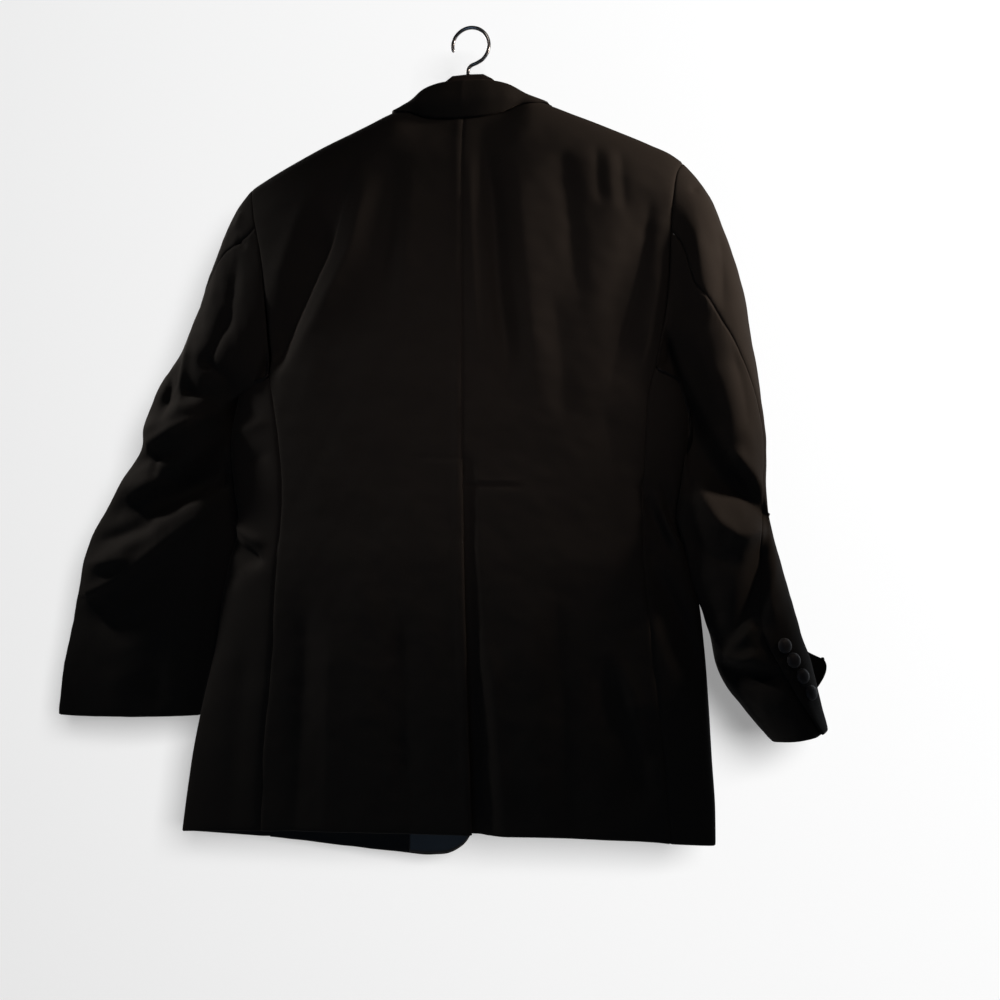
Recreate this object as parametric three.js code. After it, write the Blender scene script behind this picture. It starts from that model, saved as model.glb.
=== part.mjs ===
// A dinner jacket that hangs on a plain hanger, in millimetres, +Z up.
// The origin is the seat of the hanger's hook. The back of the jacket faces -Y, and -X is the
// wearer's left. Every cut piece of cloth is its own closed wall, and walls stay a seam gap apart.

import * as THREE from 'three';

// Driving sizes
const CLOTH = 2.2; // wall of wool with its canvas
const SATIN = 1.6; // wall of a satin piece that lies on the wool
const SEAM_GAP = 0.3; // between two sewn pieces
const LAY_GAP = 0.6; // between a panel and what lies on it
const COLLAR_LIFT = 3.6; // from a panel to the outside of the collar's edge
const EDGE_POWER = 2.6; // how square the body's section is
const SHOULDER_ROUND = 60; // height over which the body rounds over to the shoulder seam
const NECK_HALF = 72; // from the centre to the neck end of the shoulder seam
const NECK_DEPTH = 0.6; // how far back the neck seam lies, as a share of the body's depth
const ARMPIT = -374; // level where the side seams meet the armholes
const ARMPIT_DIP = 11; // how much lower the armhole is under the arm
const VENT_TOP = -492; // where the centre back seam opens into the vent
const VENT_LAP = 34; // width of the right panel's underlap
const BUTTON_LEVEL = -470; // the front button
const FRONT_BUTTON = 11; // its radius
const CUFF_BUTTON = 7.8; // radius of a cuff button
const WIRE = 3.8; // diameter of the hook's wire
const HOOK_RADIUS = 18; // inside radius of the hook

// Numbers of cells along each piece
const LOW_ROWS = 18;
const HIGH_ROWS = 6;
const ROUND_ROWS = 4;
const BACK_COLUMNS = 11;
const FRONT_COLUMNS = 9;
const SIDE_COLUMNS = 5;
const LAP_COLUMNS = 3; // of the back's right panel, on the vent's underlap
const SLEEVE_ROWS = 24;

const ARMPIT_SHARE = 0.6; // share of a panel's rows below the armpit
const ROUND_SHARE = 0.88; // share of a panel's rows below the shoulder's round

function table(columns, rows) {
  return rows.map((row) => Object.fromEntries(columns.map((name, i) => [name, row[i]])));
}

// The body's side edges and its depth behind and in front of the middle, level by level
const BODY = table(['z', 'left', 'right', 'back', 'front'], [
  [-80, -278, 256, 54, 46],
  [-150, -276, 254, 56, 50],
  [-200, -270, 248, 60, 55],
  [-280, -262, 238, 61, 60],
  [-340, -257, 229, 56, 57],
  [-385, -260, 225, 52, 53],
  [-404, -264, 229, 50, 51],
  [-427, -269, 232, 48, 49],
  [-449, -270.5, 231, 46, 48],
  [-494, -267, 226, 44, 46],
  [-528, -262, 221, 43, 45],
  [-571, -272, 233, 43, 44],
  [-606, -280, 241, 42, 43],
  [-662, -288, 248, 41, 42],
  [-729, -304, 253, 40, 41],
  [-780, -315, 256, 39, 40],
  [-823, -322, 259, 38, 40],
  [-873, -329, 260, 37, 39],
  [-910, -334, 262, 36, 38],
]);

// The shoulder seams and the back of the neck, from left to right
const TOP = table(['x', 'z'], [
  [-250, -165], [-246, -162.5], [-220, -148.5], [-190, -134], [-158, -119.5], [-122, -105],
  [-104, -97.5], [-88, -90.5], [-72, -85.5], [-40, -95], [0, -99.5], [40, -94.5], [72, -84.5],
  [88, -90.5], [112, -101], [133, -110], [153, -119], [192, -137], [216, -149.5], [226, -157.5],
  [232, -164],
]);

// Hems, from left to right
const HEM_BACK = table(['x', 'z'], [
  [-335, -875], [-329, -874], [-226, -865], [-60, -860], [8, -859], [143, -858.5], [216, -862],
  [260, -872], [266, -874],
]);
const HEM_FRONT_LEFT = table(['x', 'z'], [
  [-340, -880], [-240, -886], [-99, -897.5], [-46, -899], [-32, -897], [-22, -892], [-13, -884.5], [-7, -876],
  [10, -846],
]);
const HEM_FRONT_RIGHT = table(['x', 'z'], [
  [0, -818], [16, -842], [24, -853], [34, -861], [46, -866], [60, -868], [140, -868], [216, -869],
  [266, -875],
]);

// The armholes, and below the armpit the seams between back and sides
const BACK_EDGE = table(['z', 'left', 'right'], [
  [-155, -248, 228], [-160.5, -246, 226], [-172, -240, 221.5], [-194, -233.5, 218], [-237, -223, 215],
  [-281, -218.4, 213], [-318, -216, 209], [-350, -215, 204], [-374, -214.6, 199], [-398, -210, 193],
  [-440, -204.4, 190], [-485, -201, 187.5], [-507, -201, 187], [-572, -207, 188], [-615, -210, 191],
  [-669, -213, 196], [-713, -216.5, 201], [-767, -222, 207], [-865, -226, 215], [-900, -227, 218],
]);
const FRONT_SEAM_SHIFT = 12; // the front side seams lie this much further out
const SIDE_TRIM = 0.0022; // what a side piece leaves free at each seam, as a share of its width

// The centre back seam and the vent's edge
const CENTRE_BACK = table(['z', 'x'], [
  [-95, 0], [-199, 2.9], [-303, 2.5], [-405, 0.8], [-492, -0.2], [-612, 1.3], [-717, 4.1], [-859, 7.9],
]);

// The front edges, and above the button the lines that the lapels roll on
const FRONT_EDGE = table(['z', 'left', 'right'], [
  [-82, -72, 72], [-120, -62, 62], [-165, -49, 50], [-250, -26, 29], [-350, 1.5, 4.5], [-440, 25, -15],
  [-480, 27, -17], [-560, 25, -14], [-640, 21, -8], [-720, 14, 0], [-800, 5, 9], [-850, -3, 15],
  [-880, -8, 19],
]);

// Width of a lapel out from its roll line, and how far its outer edge hangs below that level
const LAPEL = table(['z', 'width', 'drop'], [
  [-436, 3, 0], [-405, 21, 1], [-360, 43, 3], [-310, 61, 6], [-260, 77, 11], [-210, 88, 19], [-173, 85, 26],
]);

// The collar, from the centre back round to the lapel: the edge of its leaf, as a drop below the
// shoulder line on the back or the front, the leaf's middle, the fold, and the foot on the neck seam
const COLLAR = table(
  ['part', 'edgeX', 'drop', 'edgeSide', 'middleX', 'middleY', 'middleZ',
    'foldX', 'foldY', 'foldZ', 'footX', 'footY', 'footZ'],
  [
    [0, 0, 11, -1, 0, -49, -90, 0, -41.5, -70, 0, -31.5, -99],
    [0.2, 34, 12, -1, 33, -46, -89, 29, -37.5, -70.5, 28, -26.6, -96],
    [0.36, 58, 12, -1, 55, -36, -87, 50, -26, -74, 49, -16.2, -89.9],
    [0.46, 75, 8, -1, 70, -16, -82, 62, -9, -78, 63, -5.5, -85.8],
    [0.52, 85, 0.2, 0, 77, 0, -81.5, 66, 1, -79.5, 66.5, 1, -86],
    [0.6, 92, 5.2, 1, 83, 16, -86, 67, 15, -82, 65.5, 10, -89],
    [0.75, 97, 28.4, 1, 82, 38, -99, 64, 44, -102, 60, 31, -108],
    [0.88, 97, 58.2, 1, 78, 54, -137, 54, 56, -136, 50.5, 42, -138],
    [1, 92, 91.4, 1, 73, 58, -175, 46, 59, -168, 42.5, 45, -168],
  ],
);

// Soft folds of the back, each a ridge (or a trough, where it is negative) between two points
const BACK_FOLDS = table(['x1', 'z1', 'x2', 'z2', 'width', 'rise'], [
  [-125, -150, -212, -375, 16, -3.4],
  [-96, -175, -180, -400, 20, 2.6],
  [26, -130, 52, -400, 17, -3],
  [70, -150, 88, -420, 20, 2],
  [-70, -160, -78, -330, 18, -2],
  [205, -235, 180, -360, 14, 2.8],
  [186, -200, 155, -360, 14, -2.6],
  [205, -470, 196, -590, 16, -4.2],
  [200, -520, 238, -565, 12, 3.4],
  [196, -590, 244, -700, 14, -3.2],
  [150, -680, 178, -820, 20, -2.6],
  [-175, -610, -160, -850, 22, -2.4],
  [-110, -560, -100, -840, 26, 1.8],
  [70, -620, 76, -850, 26, 1.8],
  [-236, -560, -272, -600, 12, -3],
]);

// Similar folds of the fronts
const FRONT_FOLDS = table(['x1', 'z1', 'x2', 'z2', 'width', 'rise'], [
  [-150, -200, -205, -375, 18, -3],
  [-120, -420, -20, -470, 14, 2.4],
  [-130, -520, -20, -480, 14, 2.2],
  [110, -420, 40, -465, 14, 2.2],
  [120, -530, 40, -485, 15, 2],
  [150, -190, 195, -370, 18, -2.8],
  [-170, -640, -150, -880, 24, -2.4],
  [-90, -620, -80, -890, 26, 2],
  [140, -640, 150, -860, 24, -2.2],
  [225, -560, 190, -640, 16, -3],
]);

// Sleeves: the line from the inner to the outer edge, its half depth, where its middle lies,
// how the far half is moved and tucked in, and where the back seam runs round it, in degrees
const SLEEVE_COLUMNS = [
  'at', 'innerX', 'innerZ', 'outerX', 'outerZ', 'depth', 'y', 'farX', 'farZ', 'tuck', 'seam',
];
const SLEEVE_LEFT = table(SLEEVE_COLUMNS, [
  [0, -260, -386, -246, -162.5, 42, 0, 0, 0, 0, 52],
  [0.05, -263, -391, -261, -181, 44, 0, 0, 0, 0, 52],
  [0.1, -265, -396, -275, -204, 46, 0, 0, 0, 0, 46],
  [0.17, -268, -404, -291, -243, 47, 0, 0, 0, 0, 34],
  [0.25, -271, -415, -307, -291, 46, 1, 0, 0, 0, 22],
  [0.33, -273, -430, -326, -336, 44, 2, 0, 0, 0, 13],
  [0.41, -275, -450, -357, -379, 42, 4, 0, 0, 0, 7],
  [0.47, -277, -470, -374, -418, 40, 5, 0, 0, 0, 4],
  [0.52, -277, -490, -380, -447, 38, 6, 0, 0, 0, 2],
  [0.57, -278, -512, -407, -486, 37, 7, 0, 0, 0, -1],
  [0.63, -279, -540, -439, -538, 34, 8, 0, 0, 0, -5],
  [0.68, -281, -568, -452, -567, 32, 9, 0, 0, 0, -10],
  [0.75, -285, -604, -460, -604, 29, 10, 0, 0, 0, -16],
  [0.84, -293, -655, -472, -655, 26, 11, 0, 0, 0, -22],
  [0.92, -303, -700, -482, -700, 24, 12, 0, 0, 0, -28],
  [1, -313, -747, -488, -750, 22, 12, 0, 3, 0, -34],
]);
const SLEEVE_RIGHT = table(SLEEVE_COLUMNS, [
  [0, 225, -386, 226, -157.5, 42, 0, 0, 0, 0, 74],
  [0.05, 228, -391, 243, -178, 44, 0, 0, 0, 0, 81],
  [0.1, 230, -396, 256, -200, 46, 0, 0, 0, 0, 85],
  [0.17, 233, -404, 272, -240, 47, 0, 0, 0, 0, 79],
  [0.25, 235, -418, 286, -285, 46, 1, 0, 0, 0, 72],
  [0.33, 236, -438, 296, -340, 44, 2, 0, 0, 0, 53],
  [0.42, 235, -470, 306, -402, 43, 3, 0, 0, 0, 30],
  [0.5, 231, -500, 311, -452, 42, 4, 0, 0, 0, 18],
  [0.57, 229, -528, 312, -503, 41, 5, 0, 0, 0, 22],
  [0.64, 236, -562, 319, -548, 41, 6, 0, 4, 0, 46],
  [0.72, 243, -604, 332, -594, 42, 7, 2, 12, 0, 70],
  [0.8, 253, -650, 345, -640, 43, 8, 4, 12, 3, 80],
  [0.87, 264, -690, 356, -673, 44, 8, 12, 30, 8, 71],
  [0.94, 290, -727, 365, -711, 44, 8, 20, 52, 14, 61],
  [1, 315, -757, 373, -744, 44, 8, 26, 74, 18, 42],
]);
const TUCK_AT = 324; // where a tuck lies round the sleeve, in degrees
const TUCK_WIDTH = 20;
const FRONT_SLEEVE_SEAM = 232; // where the inner seam runs round a sleeve, in degrees

const LEFT_SLEEVE_FOLDS = table(['x1', 'z1', 'x2', 'z2', 'width', 'rise'], [
  [-380, -436, -272, -392, 11, 6.5],
  [-392, -466, -300, -446, 9, -6],
  [-405, -492, -352, -486, 10, 5],
  [-435, -528, -285, -478, 17, -9],
  [-452, -594, -285, -496, 12, 7.5],
  [-440, -650, -320, -560, 26, -3.5],
  [-330, -352, -345, -396, 9, 4.5],
]);
const RIGHT_SLEEVE_FOLDS = table(['x1', 'z1', 'x2', 'z2', 'width', 'rise'], [
  [226, -350, 262, -440, 11, -5],
  [270, -380, 296, -470, 16, 3],
  [262, -484, 312, -500, 13, -7.5],
  [232, -494, 272, -546, 11, 6],
  [272, -546, 314, -540, 10, 6],
  [312, -545, 298, -650, 13, -5.5],
  [262, -672, 314, -676, 9, 4.5],
  [268, -690, 330, -690, 9, -5],
]);

// Smooth curve through one column of a table, read by another column
function curve(rows, by, column) {
  const points = rows.map((row) => [row[by], row[column]]).sort((a, b) => a[0] - b[0]);
  const last = points.length - 1;
  const slope = (i) => (points[i + 1][1] - points[i][1]) / (points[i + 1][0] - points[i][0]);
  const tangents = points.map((point, i) => {
    if (i === 0) return slope(0);
    if (i === last) return slope(last - 1);
    const before = point[0] - points[i - 1][0];
    const after = points[i + 1][0] - point[0];
    return (slope(i - 1) * after + slope(i) * before) / (before + after);
  });
  return (value) => {
    if (value <= points[0][0]) return points[0][1] + tangents[0] * (value - points[0][0]);
    if (value >= points[last][0]) return points[last][1] + tangents[last] * (value - points[last][0]);
    let i = 0;
    while (points[i + 1][0] < value) i += 1;
    const span = points[i + 1][0] - points[i][0];
    const t = (value - points[i][0]) / span;
    const t2 = t * t;
    const t3 = t2 * t;
    return (2 * t3 - 3 * t2 + 1) * points[i][1] + (t3 - 2 * t2 + t) * span * tangents[i]
      + (3 * t2 - 2 * t3) * points[i + 1][1] + (t3 - t2) * span * tangents[i + 1];
  };
}

function curves(rows, by) {
  const names = Object.keys(rows[0]).filter((name) => name !== by);
  const read = Object.fromEntries(names.map((name) => [name, curve(rows, by, name)]));
  return (value) => Object.fromEntries(names.map((name) => [name, read[name](value)]));
}

const clamp = (value, low, high) => Math.min(high, Math.max(low, value));
const mix = (a, b, t) => a + (b - a) * t;
const smooth = (from, to, value) => {
  const t = clamp((value - from) / (to - from), 0, 1);
  return t * t * (3 - 2 * t);
};

const body = curves(BODY, 'z');
const topLine = curve(TOP, 'x', 'z');
const hemBack = curve(HEM_BACK, 'x', 'z');
const hemFrontLeft = curve(HEM_FRONT_LEFT, 'x', 'z');
const hemFrontRight = curve(HEM_FRONT_RIGHT, 'x', 'z');
const backEdge = curves(BACK_EDGE, 'z');
const centreBack = curve(CENTRE_BACK, 'z', 'x');
const frontEdge = curves(FRONT_EDGE, 'z');

// Rise of the cloth where soft folds pass, from their distance to a point
function foldRise(folds, x, z) {
  let rise = 0;
  for (const fold of folds) {
    const dx = fold.x2 - fold.x1;
    const dz = fold.z2 - fold.z1;
    const length = Math.hypot(dx, dz);
    const t = ((x - fold.x1) * dx + (z - fold.z1) * dz) / (length * length);
    const across = ((x - fold.x1) * dz - (z - fold.z1) * dx) / length;
    const ends = smooth(-0.12, 0.22, t) * (1 - smooth(0.78, 1.12, t));
    rise += fold.rise * ends * Math.exp(-((across / fold.width) ** 2));
  }
  return rise;
}

// Level of a panel's row: even steps up to the armpit and the shoulder, then round to the seam
function rowLevel(hem, x, v) {
  if (v <= ARMPIT_SHARE) return mix(hem(x), ARMPIT, v / ARMPIT_SHARE);
  const shoulder = topLine(x) - SHOULDER_ROUND;
  if (v <= ROUND_SHARE) return mix(ARMPIT, shoulder, (v - ARMPIT_SHARE) / (ROUND_SHARE - ARMPIT_SHARE));
  const turn = ((v - ROUND_SHARE) / (1 - ROUND_SHARE)) * (Math.PI / 2);
  return shoulder + SHOULDER_ROUND * Math.sin(turn);
}

// Share of the full depth that is left near the top: round at the shoulder, steep at the neck
function roundOver(x, z, neck) {
  const below = clamp((topLine(x) - z) / SHOULDER_ROUND, 0, 1);
  const round = 1 - (1 - below) ** 2;
  return mix(Math.sqrt(round), round, neck);
}

function neckShare(side, x) {
  return side < 0 ? Math.max(0, 1 - (x / NECK_HALF) ** 2) : 0;
}

// Depth of the body's wall at a place, before folds: -1 is the back, +1 the front
function bodyDepth(side, x, z) {
  const section = body(z);
  const centre = (section.left + section.right) / 2;
  const half = (section.right - section.left) / 2;
  const out = clamp(Math.abs(x - centre) / half, 0, 1);
  const edge = (1 - out ** EDGE_POWER) ** (1 / EDGE_POWER);
  const neck = neckShare(side, x);
  const over = roundOver(x, z, neck);
  return (side < 0 ? section.back : section.front) * edge * mix(NECK_DEPTH * neck, 1, over);
}

function bodyPoint(side, x, z) {
  const depth = bodyDepth(side, x, z);
  const folds = side < 0 ? BACK_FOLDS : FRONT_FOLDS;
  const shown = smooth(0, 24, depth);
  return new THREE.Vector3(x, side * (depth + foldRise(folds, x, z) * shown + SEAM_GAP / 2), z);
}

// A wall's normal there, from nearby points, pointing out of the body
function bodyNormal(side, x, z) {
  const step = 0.5;
  const top = topLine(x);
  const level = Math.min(z, top - 0.6);
  const across = bodyPoint(side, x + step, level).sub(bodyPoint(side, x - step, level));
  const up = bodyPoint(side, x, level + step).sub(bodyPoint(side, x, level - step));
  const normal = across.cross(up).normalize();
  return normal.y * side < 0 ? normal.negate() : normal;
}

// A closed wall from a grid of outer points and the inner points behind them
function wall(name, columns, rows, outerPoint, innerPoint, material) {
  const positions = [];
  const add = (point) => positions.push(point.x, point.y, point.z);
  for (const at of [outerPoint, innerPoint]) {
    for (let j = 0; j <= rows; j += 1) {
      for (let i = 0; i <= columns; i += 1) add(at(i, j));
    }
  }
  const layer = (columns + 1) * (rows + 1);
  const outer = (i, j) => j * (columns + 1) + i;
  const inner = (i, j) => layer + outer(i, j);
  const faces = [];
  const quad = (a, b, c, d) => faces.push(a, b, c, a, c, d);
  for (let j = 0; j < rows; j += 1) {
    for (let i = 0; i < columns; i += 1) {
      quad(outer(i, j), outer(i + 1, j), outer(i + 1, j + 1), outer(i, j + 1));
      quad(inner(i, j), inner(i, j + 1), inner(i + 1, j + 1), inner(i + 1, j));
    }
  }
  for (let i = 0; i < columns; i += 1) {
    quad(outer(i, 0), inner(i, 0), inner(i + 1, 0), outer(i + 1, 0));
    quad(outer(i + 1, rows), inner(i + 1, rows), inner(i, rows), outer(i, rows));
  }
  for (let j = 0; j < rows; j += 1) {
    quad(outer(0, j + 1), inner(0, j + 1), inner(0, j), outer(0, j));
    quad(outer(columns, j), inner(columns, j), inner(columns, j + 1), outer(columns, j + 1));
  }
  return solid(name, positions, faces, material);
}

// A named mesh of the given triangles, turned so that its faces point out
function solid(name, positions, faces, material) {
  const corner = (index) => new THREE.Vector3().fromArray(positions, index * 3);
  let volume = 0;
  for (let i = 0; i < faces.length; i += 3) {
    volume += corner(faces[i]).dot(corner(faces[i + 1]).cross(corner(faces[i + 2])));
  }
  const turned = volume < 0 ? faces.slice().reverse() : faces;
  const geometry = new THREE.BufferGeometry();
  geometry.setAttribute('position', new THREE.Float32BufferAttribute(positions, 3));
  geometry.setIndex(turned);
  geometry.computeVertexNormals();
  const mesh = new THREE.Mesh(geometry, material());
  mesh.name = name;
  return mesh;
}

const wool = () => new THREE.MeshStandardMaterial({ color: 0x14110f, roughness: 0.92, metalness: 0 });
const satin = () => new THREE.MeshStandardMaterial({ color: 0x17181c, roughness: 0.38, metalness: 0 });
const covered = () => new THREE.MeshStandardMaterial({ color: 0x111013, roughness: 0.6, metalness: 0 });
const plastic = () => new THREE.MeshStandardMaterial({ color: 0x2a2119, roughness: 0.5, metalness: 0 });
const steel = () => new THREE.MeshStandardMaterial({ color: 0xb9bcc0, roughness: 0.25, metalness: 1 });

const ROWS = LOW_ROWS + HIGH_ROWS + ROUND_ROWS;

function rowShare(j) {
  if (j <= LOW_ROWS) return (ARMPIT_SHARE * j) / LOW_ROWS;
  if (j <= LOW_ROWS + HIGH_ROWS) return mix(ARMPIT_SHARE, ROUND_SHARE, (j - LOW_ROWS) / HIGH_ROWS);
  return mix(ROUND_SHARE, 1, (j - LOW_ROWS - HIGH_ROWS) / ROUND_ROWS);
}

// Where a row of the panel meets a line that is given by level, found in a few passes
function meet(hem, line, v) {
  let x = line(ARMPIT);
  for (let pass = 0; pass < 12; pass += 1) x = line(rowLevel(hem, x, v));
  return x;
}

const seamShift = (z) => FRONT_SEAM_SHIFT * smooth(ARMPIT, -470, z);
const edgeLine = {
  backLeft: (z) => backEdge(z).left,
  backRight: (z) => backEdge(z).right,
  frontLeft: (z) => backEdge(z).left - seamShift(z),
  frontRight: (z) => backEdge(z).right + seamShift(z),
};

// Gap at a side seam, which fades out at the armhole
const seamPull = (z) => (SEAM_GAP / 2) * smooth(ARMPIT + 4, ARMPIT - 2, z);

// How far a lapping panel's edge lies inside its neighbour
const LAP_INSET = CLOTH + 0.7;

function ventInset(x, z) {
  const line = centreBack(z);
  return LAP_INSET * smooth(line + 18, line + 5, x) * smooth(VENT_TOP + 36, VENT_TOP + 12, z);
}

// The right front passes under the left one, deeper where its lapel passes under too
function frontInset(x, z) {
  const below = smooth(-250, -340, z);
  const lap = LAP_INSET * smooth(72, 36, x);
  const lapelRoom = 5.4 * smooth(95, 30, x) * smooth(-500, -440, z);
  return (lap + lapelRoom) * below;
}

function panel(name, side, columns, place, inset = () => 0) {
  const spot = (i, j) => {
    const { x, z } = place(i, j);
    const normal = bodyNormal(side, x, z);
    return { normal, point: bodyPoint(side, x, z).addScaledVector(normal, -inset(x, z)) };
  };
  const outer = (i, j) => spot(i, j).point;
  const inner = (i, j) => {
    const { normal, point } = spot(i, j);
    point.addScaledVector(normal, -CLOTH);
    point.y = side * Math.max(side * point.y, SEAM_GAP / 2);
    return point;
  };
  return wall(name, columns, ROWS, outer, inner, wool);
}

function backLeft() {
  const place = (i, j) => {
    const v = rowShare(j);
    const from = meet(hemBack, edgeLine.backLeft, v);
    const to = meet(hemBack, centreBack, v);
    const pull = seamPull(rowLevel(hemBack, from, v));
    const x = mix(from + pull, to - SEAM_GAP / 2, i / BACK_COLUMNS);
    return { x, z: rowLevel(hemBack, x, v) };
  };
  return panel('back_left', -1, BACK_COLUMNS, place);
}

function backRight() {
  const place = (i, j) => {
    const v = rowShare(j);
    const seam = meet(hemBack, centreBack, v);
    const level = rowLevel(hemBack, seam, v);
    const lap = VENT_LAP * smooth(VENT_TOP + 8, VENT_TOP - 16, level);
    const to = meet(hemBack, edgeLine.backRight, v);
    const pull = seamPull(rowLevel(hemBack, to, v));
    const stops = [seam + SEAM_GAP / 2 - lap, seam + SEAM_GAP / 2 + 3, seam + 11, seam + 20];
    const even = (i - LAP_COLUMNS) / (BACK_COLUMNS + 1 - LAP_COLUMNS);
    const x = i < LAP_COLUMNS ? stops[i] : mix(stops[LAP_COLUMNS], to - pull, even);
    return { x, z: rowLevel(hemBack, x, v) };
  };
  return panel('back_right', -1, BACK_COLUMNS + 1, place, ventInset);
}

function front(name, hem, seam, edge, inset) {
  const place = (i, j) => {
    const v = rowShare(j);
    const from = meet(hem, seam, v);
    const to = meet(hem, edge, v);
    const pull = seamPull(rowLevel(hem, from, v)) * Math.sign(to - from);
    const x = mix(from + pull, to, i / FRONT_COLUMNS);
    return { x, z: rowLevel(hem, x, v) };
  };
  return panel(name, 1, FRONT_COLUMNS, place, inset);
}

// A point of a side piece: around the body's edge from the back seam (0) to the front seam (1)
function sidePoint(sign, around, v) {
  const key = sign < 0 ? 'left' : 'right';
  const [backLine, frontLine] = sign < 0
    ? [edgeLine.backLeft, edgeLine.frontLeft]
    : [edgeLine.backRight, edgeLine.frontRight];
  const frontHem = sign < 0 ? hemFrontLeft : hemFrontRight;
  const backX = meet(hemBack, backLine, v);
  const frontX = meet(frontHem, frontLine, v);
  const dip = ARMPIT_DIP * Math.sin(Math.PI * around) * (v / ARMPIT_SHARE);
  const level = mix(rowLevel(hemBack, backX, v), rowLevel(frontHem, frontX, v), around) - dip;
  const section = body(level);
  const centre = (section.left + section.right) / 2;
  const half = (section.right - section.left) / 2;
  const angle = (x) => Math.acos(clamp(Math.abs(x - centre) / half, 0, 1) ** (EDGE_POWER / 2));
  const turn = mix(-angle(backX), angle(frontX), around);
  const side = turn < 0 ? -1 : 1;
  const reach = Math.cos(turn) ** (2 / EDGE_POWER);
  const x = centre + Math.sign(section[key]) * half * reach;
  const flat = (side < 0 ? section.back : section.front) * Math.abs(Math.sin(turn)) ** (2 / EDGE_POWER);
  const folds = side < 0 ? BACK_FOLDS : FRONT_FOLDS;
  const y = side * (flat + foldRise(folds, x, level) * smooth(0, 24, flat)) + (SEAM_GAP / 2) * Math.sin(turn);
  return new THREE.Vector3(x, y, level);
}

function sideWall(name, sign) {
  const height = (j) => (ARMPIT_SHARE * j) / LOW_ROWS;
  const around = (i) => clamp(i / SIDE_COLUMNS, SIDE_TRIM, 1 - SIDE_TRIM);
  const outer = (i, j) => sidePoint(sign, around(i), height(j));
  const inner = (i, j) => {
    const a = around(i);
    const v = height(j);
    const across = sidePoint(sign, a + 0.01, v).sub(sidePoint(sign, a - 0.01, v));
    const above = sidePoint(sign, a, Math.min(v + 0.004, ARMPIT_SHARE));
    const below = sidePoint(sign, a, Math.max(v - 0.004, 0));
    const up = above.sub(below);
    const normal = across.cross(up).normalize();
    if (normal.x * sign < 0) normal.negate();
    return outer(i, j).addScaledVector(normal, -CLOTH);
  };
  return wall(name, SIDE_COLUMNS, LOW_ROWS, outer, inner, wool);
}

// The armhole as a ring of the body panels' own corners: back from the top, under the arm, front up
function armhole(sign) {
  const [backLine, frontLine] = sign < 0
    ? [edgeLine.backLeft, edgeLine.frontLeft]
    : [edgeLine.backRight, edgeLine.frontRight];
  const frontHem = sign < 0 ? hemFrontLeft : hemFrontRight;
  const points = [];
  const edgePoint = (side, hem, line, j) => {
    const x = meet(hem, line, rowShare(j));
    return bodyPoint(side, x, rowLevel(hem, x, rowShare(j)));
  };
  for (let j = ROWS; j >= LOW_ROWS; j -= 1) points.push(edgePoint(-1, hemBack, backLine, j));
  for (let i = 1; i < SIDE_COLUMNS; i += 1) {
    points.push(sidePoint(sign, i / SIDE_COLUMNS, ARMPIT_SHARE));
  }
  for (let j = LOW_ROWS; j <= ROWS; j += 1) points.push(edgePoint(1, frontHem, frontLine, j));
  points[0].y = 0;
  points[points.length - 1].y = 0;
  return points;
}

// A sleeve's point on a row of its table, at a turn in degrees from the outer edge round by the back
function sleeveRing(row, degrees) {
  const turn = THREE.MathUtils.degToRad(degrees);
  const out = (1 + Math.cos(turn)) / 2;
  const far = Math.max(0, -Math.sin(turn)) ** 2.2;
  const round = ((degrees % 360) + 360) % 360;
  const tuck = row.tuck * Math.exp(-(((round - TUCK_AT) / TUCK_WIDTH) ** 2));
  return new THREE.Vector3(
    mix(row.innerX, row.outerX, out) + row.farX * far - tuck,
    row.y - row.depth * Math.sin(turn),
    mix(row.innerZ, row.outerZ, out) + row.farZ * far,
  );
}

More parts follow.
